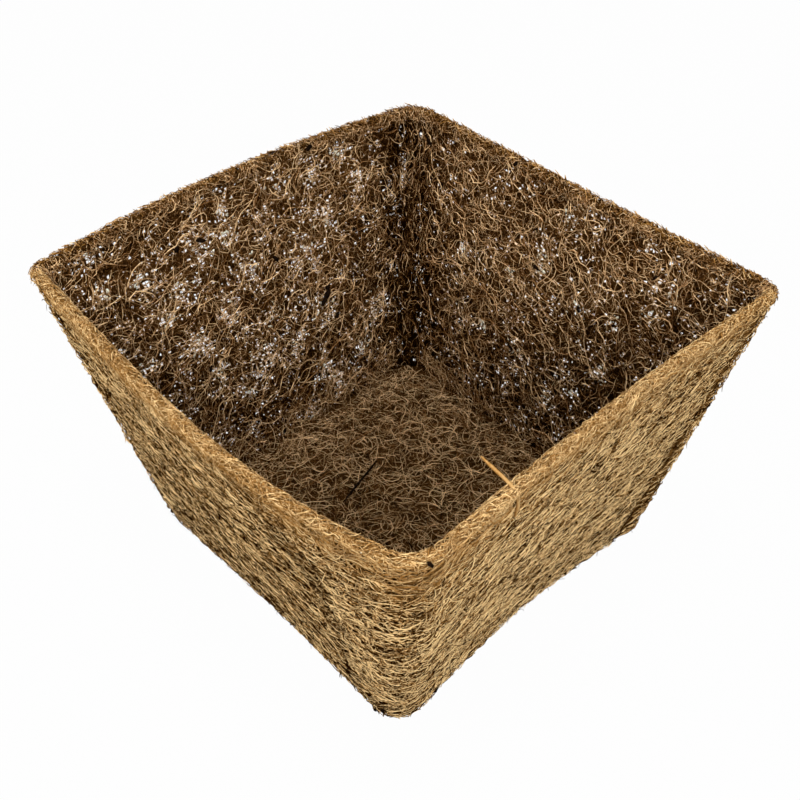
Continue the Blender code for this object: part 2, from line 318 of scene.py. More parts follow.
def tubes(name, lines, facing, radius, tone, material, slot, sides=3, ridge_highlight=0.1, **marks):
    """One piece of closed tubes, one for each line.

    A section's points are at equal angles in the plane square to the line, the first towards
    facing, and its radius narrows to half at both ends. The crest, its first point, carries a
    painted highlight and the flanks painted shade.
    Marks are further named values, one for each section, such as how much painted shade of a
    patch it has. Each tube has its own cell in the map.
    """
    count, rings = lines.shape[:2]
    along = np.gradient(lines, axis=1)
    along /= np.maximum(np.linalg.norm(along, axis=-1, keepdims=True), 1e-9)
    side = np.cross(along, facing)
    side /= np.maximum(np.linalg.norm(side, axis=-1, keepdims=True), 1e-9)
    up = np.cross(side, along)
    angle = np.arange(sides) * 2 * np.pi / sides
    share = np.linspace(0, 1, rings)
    narrow = np.clip(4 * np.minimum(share, 1 - share) + 0.5, 0, 1)
    reach = (radius[:, None] * narrow)[..., None, None]
    section = np.cos(angle)[:, None] * up[:, :, None] + np.sin(angle)[:, None] * side[:, :, None]
    points = (lines[:, :, None] + reach * section).reshape(-1, 3)
    first = (np.arange(count) * rings * sides)[:, None, None]
    ring = (np.arange(rings - 1) * sides)[:, None]
    turn, following = np.arange(sides), (np.arange(sides) + 1) % sides
    quads = np.stack([first + ring + turn, first + ring + following,
                      first + ring + sides + following, first + ring + sides + turn], axis=-1)
    start_cap = first[:, :, 0] + np.arange(sides)[::-1]
    end_cap = first[:, :, 0] + (rings - 1) * sides + np.arange(sides)
    piece = mesh_piece(name, points, [quads.reshape(-1, 4), start_cap, end_cap], material)
    put_value(piece, "tone", tone[..., None] + np.broadcast_to(ridge_highlight, tone.shape)[..., None] * np.cos(angle))
    for label, amount in marks.items():
        put_value(piece, label, np.repeat(amount, sides))
    columns = int(np.ceil(np.sqrt(count)))
    cell = np.stack([np.arange(count) % columns, np.arange(count) // columns], axis=-1)
    margin, used = 0.1, 0.8
    near = turn / sides * used + margin
    low, near = np.broadcast_arrays(share[:-1, None] * used + margin, near)
    high, far = np.broadcast_arrays(share[1:, None] * used + margin, near + used / sides)
    cell_corners = (low, near), (low, far), (high, far), (high, near)
    quad_map = np.stack([np.stack(place, axis=-1) for place in cell_corners], axis=2)
    across, up_cap = 0.04 + 0.03 * np.sin(angle), 0.5 - 0.4 * np.cos(angle)
    start_map = np.stack([across, up_cap], axis=-1)[::-1]
    end_map = np.stack([across + 0.92, up_cap], axis=-1)
    places = [(cell[:, None] + part.reshape(-1, 2)).reshape(-1, 2) for part in (quad_map, start_map, end_map)]
    put_map(piece, "OFBake", np.concatenate(places) / columns)
    return piece


def in_cell(grid, row, column, place):
    """Values of a grid inside its cells, blended from each cell's four corners."""
    across, up = place[..., 0:1], place[..., 1:2]
    corner = [grid[row + down, column + over][:, None] for down, over in ((0, 0), (0, 1), (1, 1), (1, 0))]
    return ((1 - across) * (1 - up) * corner[0] + across * (1 - up) * corner[1]
            + across * up * corner[2] + (1 - across) * up * corner[3])


def sheet_piece(name, grids, weave, tones, material, pierced=None, looped=False):
    """Closed sheet between an outer and an inner grid of points, each (row, column, 3).

    The outer grid's faces look away from the inner grid, and strips close its sides. A pierced
    cell has a four-sided hole, given as places in the cell. The tones are one grid for each face.
    So is the weave, which holds the distance along and up each face in metres. A looped sheet's
    last column is its first.
    """
    rows, columns = grids[0].shape[:2]
    index = np.arange(rows * columns).reshape(rows, columns)
    if looped:
        index[:, -1] = index[:, 0]
    cells = np.stack([index[:-1, :-1], index[:-1, 1:], index[1:, 1:], index[1:, :-1]], axis=-1)
    back = rows * columns
    row, column, hole = pierced if pierced else (np.zeros(0, int), np.zeros(0, int), np.zeros((0, 4, 2)))
    whole = np.ones(cells.shape[:2], bool)
    whole[row, column] = False
    quad = cells[whole]
    edges = [index[0], index[-1, ::-1]]
    if not looped:
        edges = [np.concatenate([index[0], index[1:, -1], index[-1, -2::-1], index[-2::-1, 0]])]
    strips = [np.stack([edge[:-1], edge[:-1] + back, edge[1:] + back, edge[1:]], axis=-1) for edge in edges]
    holed = 2 * back + np.arange(len(row) * 4).reshape(-1, 4)
    deeper = holed + len(row) * 4
    corners = cells[row, column]
    next_corners, next_holed, next_deeper = (np.roll(part, -1, axis=1) for part in (corners, holed, deeper))
    rings = [np.stack(ring, axis=-1).reshape(-1, 4) for ring in (
        (corners, next_corners, next_holed, holed),
        (corners + back, deeper, next_deeper, next_corners + back),
        (holed, next_holed, next_deeper, deeper))]
    faces = np.concatenate([quad, quad[:, ::-1] + back, *strips, *rings])

    def everywhere(pair, more=0.0):
        """Values at every point from a pair of grids: both grids, then the holes' corners, with more."""
        holes = [in_cell(grid, row, column, hole) + more for grid in pair]
        return np.concatenate([part.reshape(-1, pair[0].shape[-1]) for part in (*pair, *holes)])

    piece = mesh_piece(name, everywhere(grids), [faces], material)
    # Painted light: the holes' edges are lighter
    put_value(piece, "tone", everywhere([side[..., None] for side in tones], PAINTED_HOLE_GLOW))
    put_map(piece, "weave", everywhere(weave)[faces.ravel()])
    if looped:
        return piece
    grid = np.stack(np.meshgrid(np.linspace(0, 1, columns), np.linspace(0, 1, rows)), axis=-1)
    outer_map = grid * (0.47, 0.84) + 0.01
    baked = everywhere((outer_map, outer_map + (0.5, 0)))[faces.ravel()]
    strip_start, count = 8 * len(quad), len(strips[0])
    share = np.arange(count + 1) / count * 0.98 + 0.01
    lower, upper = np.full(count, 0.90), np.full(count, 0.95)
    baked[strip_start:strip_start + 4 * count] = np.stack(
        [share[:-1], lower, share[:-1], upper, share[1:], upper, share[1:], lower], axis=-1).reshape(-1, 2)
    if len(row):
        hole_map = in_cell(outer_map, row, column, hole)
        inside_map = hole_map.mean(axis=1, keepdims=True) * 0.5 + hole_map * 0.5
        walls = [hole_map, np.roll(hole_map, -1, axis=1), np.roll(inside_map, -1, axis=1), inside_map]
        baked[-4 * len(rings[2]):] = np.stack(walls, axis=2).reshape(-1, 2)
    put_map(piece, "OFBake", baked)
    return piece


def evenly(rng, count):
    """Places in the unit square that are spread evenly but in no rows.

    Place k is the start plus k times 0.7549 and 0.5698, less the whole numbers.
    """
    return (rng.uniform(0, 1, 2) + np.arange(count)[:, None] * (0.7548776662, 0.5698402910)) % 1


def ripple(rng, x, y, size, waves=7):
    """Smooth uneven field between about -1 and 1: a sum of sine waves in random directions."""
    total = np.zeros(np.shape(x))
    for direction, length, phase in zip(rng.uniform(0, np.pi, waves), rng.uniform(0.6, 1.6, waves) * size,
                                        rng.uniform(0, 2 * np.pi, waves)):
        total += np.sin(2 * np.pi * (x * np.cos(direction) + y * np.sin(direction)) / length + phase)
    return total / waves * 1.6


# Power of a linear colour that grows evenly to the eye
EYE_POWER = 0.45


class Colours:
    """Node helpers of one material."""

    def __init__(self, name, roughness):
        self.material = bpy.data.materials.new(name)
        self.material.use_nodes = True
        self.nodes = self.material.node_tree.nodes
        self.links = self.material.node_tree.links
        self.shader = self.nodes["Principled BSDF"]
        self.shader.inputs["Roughness"].default_value = roughness
        self.shader.inputs["Specular IOR Level"].default_value = 0.0

    def node(self, kind, **values):
        made = self.nodes.new(kind)
        for key, value in values.items():
            setattr(made, key, value)
        return made

    def link(self, source, target):
        self.links.new(source, target)

    def value(self, name):
        return self.node("ShaderNodeAttribute", attribute_name=name).outputs["Fac"]

    def place(self, scale, uv=None, start=(0, 0, 0)):
        """Object coordinates, or a map's, stretched by a scale for each axis."""
        if uv:
            source = self.node("ShaderNodeUVMap", uv_map=uv).outputs["UV"]
        else:
            source = self.node("ShaderNodeTexCoord").outputs["Object"]
        mapping = self.node("ShaderNodeMapping")
        mapping.inputs["Scale"].default_value = scale
        mapping.inputs["Location"].default_value = start
        self.link(source, mapping.inputs["Vector"])
        return mapping.outputs["Vector"]

    def noise(self, where, scale, detail=3.0, distortion=0.0):
        made = self.node("ShaderNodeTexNoise")
        made.inputs["Scale"].default_value = scale
        made.inputs["Detail"].default_value = detail
        made.inputs["Distortion"].default_value = distortion
        self.link(where, made.inputs["Vector"])
        return made.outputs["Fac"]

    def maths(self, operation, first, second, clamp=False):
        made = self.node("ShaderNodeMath", operation=operation, use_clamp=clamp)
        for socket, value in zip(made.inputs, (first, second)):
            if isinstance(value, (int, float)):
                socket.default_value = value
            else:
                self.link(value, socket)
        return made.outputs[0]

    def swing(self, source, much):
        """Values round one half made to swing as much round nothing."""
        return self.maths("MULTIPLY", self.maths("SUBTRACT", source, 0.5), much)

    def strand(self, where, scale, thick):
        """Curly lines, 1 in their middles: the places where a smooth noise is near one half."""
        off = self.maths("ABSOLUTE", self.maths("SUBTRACT", self.noise(where, scale, 0.6, 0.4), 0.5), 0)
        return self.maths("SUBTRACT", 1.0, self.maths("DIVIDE", off, thick), clamp=True)

    def ramp(self, source, stops):
        """Colour ramp from (position, colour) stops."""
        made = self.node("ShaderNodeValToRGB")
        ramp = made.color_ramp
        for element, (position, colour) in zip(list(ramp.elements), (stops[0], stops[-1])):
            element.position, element.color = position, (*colour, 1)
        for position, colour in stops[1:-1]:
            ramp.elements.new(position).color = (*colour, 1)
        self.link(source, made.inputs["Fac"])
        return made.outputs["Color"]

    def shades(self, source, colours):
        """Ramp from a dark to a body to a light colour, with even steps to the eye below the body."""
        dark, body, light = (np.array(colour) for colour in colours)
        middle = ((dark ** EYE_POWER + body ** EYE_POWER) / 2) ** (1 / EYE_POWER)
        stops = zip((0.0, 0.28, 0.55, 1.0), (dark, middle, body, light))
        return self.ramp(source, [(position, tuple(colour)) for position, colour in stops])

    def tinted(self, colour, name, tint):
        """Colour multiplied by a tint where the named value of the points is 1."""
        made = self.node("ShaderNodeMix", data_type="RGBA", blend_type="MULTIPLY")
        self.link(self.value(name), made.inputs["Factor"])
        self.link(colour, made.inputs[6])
        made.inputs[7].default_value = (*tint, 1)
        return made.outputs[2]

    def bump(self, height, strength, distance):
        made = self.node("ShaderNodeBump")
        made.inputs["Strength"].default_value = strength
        made.inputs["Distance"].default_value = distance
        self.link(height, made.inputs["Height"])
        self.link(made.outputs["Normal"], self.shader.inputs["Normal"])

    def finish(self, colour):
        self.link(colour, self.shader.inputs["Base Color"])
        return self.material


def fibre_finish(name, colours, roughness, speckle=1.5, mottle=0.45, grain=(1, 1, 1)):
    """Coir: each fibre's tone, broken by speckles and broad mottling, picks its colour from dark to light.

    The grain stretches the speckles: 0.25 along an axis makes them four times as long that way.
    They fade where the fibres' soft value is 1, and painted shade darkens the colour where a patch of it
    lies.
    """
    made = Colours(name, roughness)
    fine = made.swing(made.noise(made.place(grain), 1000.0, 2.0), speckle)
    fine = made.maths("MULTIPLY", fine, made.maths("SUBTRACT", 1.0, made.value("soft")))
    broad = made.swing(made.noise(made.place((1, 1, 1)), 45.0, 3.0), mottle)
    tone = made.maths("ADD", made.maths("ADD", made.value("tone"), fine), broad, clamp=True)
    return made.finish(made.tinted(made.shades(tone, colours), "stain", PATCH_SHADE_TINT))


def felt_finish(name, colours, low, high):
    """Felt under the loose fibres: sets of curly strands over a dark ground, which paints the shade deep
    among the fibres, on the weave map.
    """
    made = Colours(name, 0.75)
    where = made.place((1, 1, 1), "weave")
    shifted = made.place((1, 1, 1), "weave", (3.1, 1.7, 0))
    strands = made.maths("MAXIMUM", made.strand(where, 480.0, 0.09), made.strand(shifted, 700.0, 0.11))
    strands = made.maths("MAXIMUM", strands, made.maths("MULTIPLY", made.strand(shifted, 1000.0, 0.13), 0.8))
    cloud = made.swing(made.noise(where, 60.0, 3.0), 0.35)
    tone = made.maths("ADD", made.maths("ADD", made.maths("MULTIPLY", strands, high - low), low), cloud)
    tone = made.maths("ADD", tone, made.value("tone"), clamp=True)
    made.bump(strands, 0.7, 0.0008)
    return made.finish(made.shades(tone, colours))


def crumb_finish(name, colour, roughness):
    """Bits caught in the felt: one colour, darker and lighter in blotches."""
    made = Colours(name, roughness)
    blotch = made.noise(made.place((1, 1, 1)), 700.0, 3.0)
    darker, lighter = np.array(colour) * 0.45, np.minimum(np.array(colour) * 1.4, 1)
    return made.finish(made.ramp(blotch, [(0.35, tuple(darker)), (0.65, tuple(lighter))]))


def shade(*srgb):
    """Linear colour of 0 to 255 display values."""
    value = np.array(srgb) / 255
    linear = np.where(value <= 0.04045, value / 12.92, ((value + 0.055) / 1.055) ** 2.4)
    return tuple(float(part) for part in linear)


def length_property(name, description, default):
    """Length setting in metres."""
    return bpy.props.FloatProperty(name=name, description=description, default=default, min=0.0001,
                                   precision=5, unit="LENGTH")


def count_property(name, description, default):
    """Setting for a number of bits."""
    return bpy.props.IntProperty(name=name, description=description, default=default, min=1)


def power_property(name, description, default):
    """Power setting of a lamp."""
    return bpy.props.FloatProperty(name=name, description=description, default=default, min=0, unit="POWER")


def colour_property(name, description, *srgb):
    """Colour setting from 0 to 255 display values."""
    return bpy.props.FloatVectorProperty(name=name, description=description, default=shade(*srgb), size=3,
                                         min=0.0, max=1.0, subtype="COLOR")


class BasketFibres(bpy.types.PropertyGroup):
    """Amounts and sizes of the fibres."""
    amount: bpy.props.FloatProperty(name="Amount", description="Share of the usual number of fibres",
                                    default=1.0, min=0.05, max=1.0, subtype="FACTOR")
    outside_width: length_property("Outside width", "Usual width of a fibre on the outside", 0.00045)
    outside_length: length_property("Outside length", "Usual length of a fibre on the outside", 0.015)
    inside_width: length_property("Inside width", "Usual width of a fibre on the inside", 0.00033)
    inside_length: length_property("Inside length", "Usual length of a fibre on the inside", 0.017)
    pinhole_width: length_property("Pinhole width", "Usual width of a hole through the felt", 0.0022)
    curls: count_property("Long curls", "Long pale fibres on the inside", 200)
    crumbs: count_property("Pith crumbs", "Dark crumbs caught in the felt", 90)
    specks: count_property("Pale specks", "Pale specks caught in the felt", 50)
    flecks: count_property("Latex flecks", "Flecks of binder in each thin place", 14)


class BasketColours(bpy.types.PropertyGroup):
    """Colours of the fibres and of what is caught in them."""
    # The dark colours are the darkest fibres and the painted shade in the gaps between them; the light
    # colours are the palest fibres and their painted highlights
    outside_dark: colour_property("Outside gaps", "Gaps between the outside fibres", 34, 15, 2)
    outside_body: colour_property("Outside fibres", "Most of the outside fibres", 162, 117, 61)
    outside_light: colour_property("Outside highlights", "Palest outside fibres", 246, 211, 152)
    inside_dark: colour_property("Inside gaps", "Gaps between the inside fibres", 18, 6, 0)
    inside_body: colour_property("Inside fibres", "Most of the inside fibres", 146, 99, 54)
    inside_light: colour_property("Inside highlights", "Palest inside fibres", 248, 210, 158)
    pith: colour_property("Pith", "Dark crumbs and the twig", 26, 17, 10)
    speck: colour_property("Specks", "Pale specks", 226, 206, 172)
    # Pale binder colour, which also paints the glints and the light coming through the thin places
    latex: colour_property("Latex", "Flecks of the binder in the thin places", 255, 236, 202)


class BasketStage(bpy.types.PropertyGroup):
    """Lamps, floor and camera."""
    key: power_property("Key lamp", "Power of the lamp at the right", 12.0)
    fill: power_property("Fill lamp", "Power of the lamp at the left", 6.5)
    top: power_property("Top lamp", "Power of the lamp overhead", 14.0)
    sky: bpy.props.FloatProperty(name="Sky", description="Strength of the light from all round", default=0.35,
                                 min=0)
    floor: colour_property("Floor", "Colour of the floor", 160, 160, 160)
    lens: bpy.props.FloatProperty(name="Lens", description="Focal length of the camera in millimetres",
                                  default=46.55, min=10)


@dataclass
class Lay:
    """How one layer of fibres lies.

    Length and width are shares of the usual, depth is from the outer face in metres, and angles
    are in radians. Loose is the share that lies any way, curl is turning per metre, and sway is
    how far a fibre weaves in depth. Tone is the middle and spread of its colours. The painted depth
    shade is how much lighter its top is painted than its bottom, as the shade falls, and the crest
    highlight how much lighter each fibre's crest is painted than its flanks. Reach gives the ends of
    the layer along the wall at a level, and levels its foot and top. Shy is the share that keeps off
    the holes through the felt, swirl the strength and size of the field that fibres follow, and comb
    how far neighbours wave up and down together, in metres. Inner says that the layer lies inside.
    """
    count: int
    segments: int
    length: float
    width: float
    depth: tuple
    heading: float
    loose: float
    curl: float
    waver: float
    sway: float
    tone: tuple
    painted_depth_shade: float
    ridge_highlight: float
    reach: object = None
    levels: tuple = (0.002, 0.994)
    inner: bool = False
    shy: float = 0.0
    swirl: tuple = (2.6, 0.030)
    comb: float = 0.0


# Thin places that let light through: distance along from the wall's middle, height and radius
THIN = {
    LEFT: ((9, 145, 5), (13, 132, 6), (27, 129, 9), (-25, 146, 6), (-69, 151, 5), (-35, 102, 10),
           (-49, 120, 7), (57, 106, 7), (66, 132, 5), (45, 117, 8), (22, 96, 7), (11, 62, 9), (78, 89, 7),
           (-29, 36, 6), (-35, 66, 8), (-37, 20, 7), (-15, 6, 6), (37, 64, 5), (-76, 136, 6),
           (-77, 58, 6), (-61, 33, 5), (88, 157, 4), (89, 133, 5), (-17, 57, 5), (23, 44, 5),
           (45, 84, 7), (2, 112, 6), (-5, 82, 5)),
    BACK: ((-2, 147, 4), (10, 122, 4), (10, 112, 6), (15, 59, 5), (-21, 103, 5), (-44, 105, 5), (27, 100, 3),
           (-30, 55, 5), (-16, 40, 5), (-45, 74, 5), (66, 97, 4), (-60, 120, 4), (40, 60, 4), (-70, 135, 4)),
}
# Squares that the holes through a wall are marked on: their side, how many along and up, and which
# one stands at the wall's middle and foot
HOLE_STEP, SQUARES, FIRST_SQUARE = 0.00025, np.array([1300, 700]), (650, 10)
# Share of the felt's cells that are pierced, away from a thin place and in one
PIERCED = {LEFT: (0.25, 0.50), BACK: (0.15, 0.36)}
# Painted light round the holes: how much lighter the core is at a hole's edge, and the fibres where all round
# them is open
PAINTED_HOLE_GLOW, PAINTED_HOLE_LIGHT = 0.4, 0.70

# Patches of painted shade on the outside, in the dent by the near corner and along the laps: distance along,
# height and radius in millimetres, and strength
SHADE_PATCHES = {
    FRONT: ((45, 148, 8, 0.3), (62, 128, 11, 0.6), (74, 111, 12, 0.9), (84, 92, 11, 0.8), (90, 74, 9, 0.5),
            (93, 118, 5, 0.4)),
    RIGHT: ((-112, 151, 3, 1.6), (-111, 118, 2, 1.4), (98, 79, 2, 1.2), (94, 57, 2, 1.0)),
}
# Tint that the patches of painted shade multiply the colour by
PATCH_SHADE_TINT = (0.66, 0.66, 0.66)
# How dark the seam is at the first and the last edge of each wall's outer layer, how wide its
# shadow is, and how far loose fibres run over it
SEAMS = {FRONT: (1.0, 0.0), RIGHT: (0.0, 0.8), BACK: (0.8, 0.3), LEFT: (0.3, 1.0)}
SEAM_WIDTH, SEAM_CROSSED = 0.0014, 0.005


def near_marks(marks, along, height):
    """Distance to each mark's middle over its radius, as (mark, ...)."""
    marks = np.array(marks) / 1000
    marks = marks.reshape(marks.shape + (1,) * np.ndim(along))
    return np.hypot(along - marks[:, 0], height - marks[:, 1]) / marks[:, 2]


def outer_reach(wall, level):
    """Lowest and highest distance along of the outer layer that a wall piece owns.

    The right, back and left walls run on round corners and end in a lap on the neighbour, and
    stop where a neighbour's lap lies on them.
    """
    half = wall_run(wall, level) / 2
    start, end = wall, (wall + 1) % 4
    start_lap, end_lap = between(LAP[start], level), between(LAP[end], level)
    low = -half - corner_run(start, level) - start_lap if wall in (RIGHT, BACK) else -half + start_lap
    high = half + corner_run(end, level) + end_lap if wall in (BACK, LEFT) else half - end_lap
    return low + SEAM_WIDTH * SEAMS[wall][0], high - SEAM_WIDTH * SEAMS[wall][1]


def inner_reach(wall, level, past=0.003):
    """Lowest and highest distance along of a wall's inside, out past the middle of each corner."""
    half = wall_run(wall, level) / 2
    first, last = (corner_run(corner, level) / 2 for corner in (wall, (wall + 1) % 4))
    return -half - first - past, half + last + past


def past_reach(wall, level):
    """Reach of the layers that run on further past the middles of the corners."""
    return inner_reach(wall, level, 0.004)


# Layers outside the near and the far walls, inside the far and the near walls, and over the rim
COMBED = Lay(6000, 5, length=1.05, width=0.88, depth=(-0.0005, 0.0007), heading=0.36, loose=0.28, curl=75,
             waver=0.55, sway=0.0005, tone=(0.45, 0.25), painted_depth_shade=0.48, ridge_highlight=0.60, reach=outer_reach,
             swirl=(0.45, 0.018), comb=0.0004)
# Dark tone: painted shade of the fibres lying under the combed layer
COMBED_UNDER = Lay(1400, 4, length=1.1, width=1.3, depth=(0.0005, 0.0010), heading=0.4, loose=0.35, curl=26,
                   waver=0.25, sway=0.0003, tone=(0.30, 0.16), painted_depth_shade=0.15, ridge_highlight=0.25, reach=outer_reach,
                   levels=(0.002, 0.99), swirl=(0.45, 0.018), comb=0.0004)
COMBED_FAR = Lay(3900, 4, length=1.0, width=1.25, depth=(-0.0004, 0.0010), heading=0.20, loose=0.25, curl=30,
                 waver=0.25, sway=0.0004, tone=(0.46, 0.18), painted_depth_shade=0.45, ridge_highlight=0.45, reach=outer_reach,
                 shy=0.60, swirl=(0.40, 0.024), comb=0.0004)
TANGLE = Lay(5200, 6, length=1.0, width=1.0, depth=(0.0045, 0.0062), heading=0.6, loose=0.4, curl=120,
             waver=0.5, sway=0.0006, tone=(0.38, 0.19), painted_depth_shade=0.55, ridge_highlight=0.50, reach=inner_reach,
             levels=(0.03, 0.994), inner=True, shy=0.35)
# Dark tone: painted shade of the fibres lying deep in the tangle
DEEP_TANGLE = Lay(2000, 5, length=1.1, width=1.2, depth=(0.0030, 0.0044), heading=0.8, loose=0.5, curl=70,
                  waver=0.35, sway=0.0003, tone=(0.12, 0.12), painted_depth_shade=0.15, ridge_highlight=0.10, reach=past_reach,
                  levels=(0.01, 0.99), inner=True, shy=0.85)
PLAIN_TANGLE = Lay(1350, 5, length=1.3, width=1.4, depth=(0.0046, 0.0062), heading=0.8, loose=0.4, curl=80,
                   waver=0.35, sway=0.0004, tone=(0.42, 0.17), painted_depth_shade=0.45, ridge_highlight=0.40, reach=inner_reach,
                   levels=(0.03, 0.994), inner=True)
NEAR_RIM = Lay(1500, 3, length=0.3, width=0.95, depth=(-0.0006, 0.0002), heading=0.5, loose=0.3, curl=90,
               waver=0.3, sway=0.0001, tone=(0.64, 0.11), painted_depth_shade=0.25, ridge_highlight=0.20)
FAR_RIM = Lay(1900, 3, length=0.42, width=0.9, depth=(-0.0008, 0.0010), heading=1.0, loose=0.6, curl=150,
              waver=0.4, sway=0.0005, tone=(0.32, 0.18), painted_depth_shade=0.50, ridge_highlight=0.40)


def by_corner(wall, along, level, corner, width):
    """1 at a wall's near or far end and less away from it: a bell of the distance over a width."""
    half = (BASE_SIDE + (RIM_SIDE - BASE_SIDE) * level) / 2
    gap = half + along if corner == wall else half - along
    return np.exp(-(gap / width) ** 2)


def in_thin_place(wall, along, height):
    """1 in the middle of a thin place and less round it: a bell of the distance over its radius."""
    return np.exp(-near_marks(THIN[wall], along, height).min(axis=0) ** 2)


def looser(wall, along, level, inner):
    """Extra share of loose fibres, outside round the near corner."""
    if inner or wall in THIN:
        return 0.0
    return 0.75 * by_corner(wall, along, level, NEAR_CORNER, 0.038)


def painted_wall_shading(wall, along, level, inner):
    """Painted light and shade over a wall, as a change of tone.

    The inside has painted shade low down and by the far corner, and painted light in the thin
    places and on the back wall, apart from its foot. The outside has painted shade towards the foot
    and round the near corner, is painted darker on the front, most at its foot, and lighter on the
    right.
    """
    below = np.clip(1 - level, 0, 1)
    if inner:
        tone = INNER_FOOT_SHADE * below ** 1.2
        if wall in THIN:
            tone = tone + INNER_CORNER_SHADE * by_corner(wall, along, level, FAR_CORNER, 0.022)
            tone = tone + INNER_THIN_LIGHT * in_thin_place(wall, along, level * HEIGHT)
        return tone + (INNER_BACK_LIGHT + BACK_FOOT_SHADE * below ** 3 if wall == BACK else 0)
    tone = OUTER_FOOT_SHADE * below ** 1.5 + OUTSIDE_PAINTED_LIGHT[wall]
    if wall == FRONT:
        tone = tone + FRONT_FOOT_SHADE * below
    if wall in THIN:
        return tone
    return tone + OUTER_CORNER_SHADE * by_corner(wall, along, level, NEAR_CORNER, 0.030)


def painted_patch_shade(wall, along, height):
    """Strength of the painted shade at places on a wall's outside: a bell round each patch's mark."""
    if wall not in SHADE_PATCHES:
        return np.zeros(np.shape(along))
    strength = np.array([mark[3] for mark in SHADE_PATCHES[wall]])
    near = near_marks([mark[:3] for mark in SHADE_PATCHES[wall]], along, height)
    return np.clip(np.tensordot(strength, np.exp(-near ** 2), axes=1), 0, 1)


def laid_lines(rng, lay, usual_length, amount, wall, holes):
    """Lines of a layer on a wall as (along, height) points, with their depths and tones.

    A line's middle is drawn evenly over the wall, and its heading is the layer's swirl, a smooth
    field, plus a normal draw. Shy lines are cut where they would cross a hole. Inside the far
    walls most lines stand steeply by the far corner, leaning either way.
    """
    count = int(lay.count * amount)
    spread = evenly(rng, count)
    lowest, highest = lay.levels
    level = lowest + (highest - lowest) * spread[:, 0]
    low, high = lay.reach(wall, level)
    along = low + (high - low) * spread[:, 1]
    loose = rng.uniform(0, 1, count) < lay.loose + looser(wall, along, level, lay.inner)
    field = ripple(np.random.default_rng(wall + 7), along, level * HEIGHT, lay.swirl[1])
    heading = lay.swirl[0] * field + rng.normal(0, np.where(loose, ANY_WAY, lay.heading))
    if lay.inner and wall in THIN:
        chance = STEEP_SHARE * by_corner(wall, along, level, FAR_CORNER, STEEP_REACH)
        steep = rng.uniform(0, 1, count) < chance
        leaning = rng.choice((-1.0, 1.0), count) * STEEP + rng.normal(0, STEEP_SPREAD, count)
        heading = np.where(steep, leaning, heading)
    length = varied(rng, lay.length * usual_length, count)
    curl = rng.normal(0, lay.curl, count) * np.where(loose & (not lay.inner), LOOSE_CURL, 1.0)
    lines = wander(rng, np.column_stack([along, level * HEIGHT]), heading, length, curl,
                   unsteady(rng, lay.waver, count))
    combed = ripple(np.random.default_rng(wall + 17), lines[..., 0] * 0.6, lines[..., 1], 0.0045)
    lines[..., 1] += lay.comb * combed
    height = lines[..., 1] / HEIGHT
    over = SEAM_CROSSED * rng.uniform(0, 1, (count, 1))
    first, last = (0, 0) if lay.inner else (over * (seam < 0.1) for seam in SEAMS[wall])
    inside = (height > lowest) & (height < highest) & within(lay.reach, wall, lines, first, last)
    depth = rng.uniform(*lay.depth, count)
    if lay.shy:
        shy = rng.uniform(0, 1, count) < lay.shy
        through = seen_behind(wall, lines[..., 0], lines[..., 1], depth[:, None])
        inside &= ~(at_square(holes, *through) & shy[:, None])
    lines, kept = cut_lines(lines, inside, lay.segments)
    shape = lines.shape[:2]
    cycles = rng.uniform(0.6, 1.4, (shape[0], 1)) * length[kept, None] / SWAY_LENGTH
    depth = depth[kept, None] + lay.sway * swaying(rng, shape, 2 * np.pi * cycles)
    buried = (depth - lay.depth[0]) / (lay.depth[1] - lay.depth[0]) - 0.5
    # Painted shade: fibres lying lower in the layer are darker, those on top lighter
    tone = rng.normal(*lay.tone, shape[0])[:, None] + lay.painted_depth_shade * (buried if lay.inner else -buried)
    along, height = lines[..., 0], lines[..., 1]
    # Painted light through the holes: fibres where all round is open are lighter
    if lay.inner and lay.shy:
        tone = tone + PAINTED_HOLE_LIGHT * at_square(openness(holes), *seen_behind(wall, along, height, depth))
    # Painted light and shade over the wall
    return lines, depth, tone + painted_wall_shading(wall, along, height / HEIGHT, lay.inner)


def within(reach, wall, lines, before=0.0, after=0.0):
    """Which points of (along, height) lines lie in a wall's reach, or past its ends by less than is given."""
    along, level = lines[..., 0], np.clip(lines[..., 1] / HEIGHT, 0, 1)
    low, high = (edge.reshape(along.shape) for edge in reach(wall, level.ravel()))
    return (along > low - before) & (along < high + after)


def on_wall(wall, lines, depth, inner):
    """Points and facing directions of (along, height) lines at their depths in a wall."""
    points, outward = on_felt(wall, lines[..., 0], lines[..., 1] / HEIGHT, depth)
    return points, outward * (-1 if inner else 1)


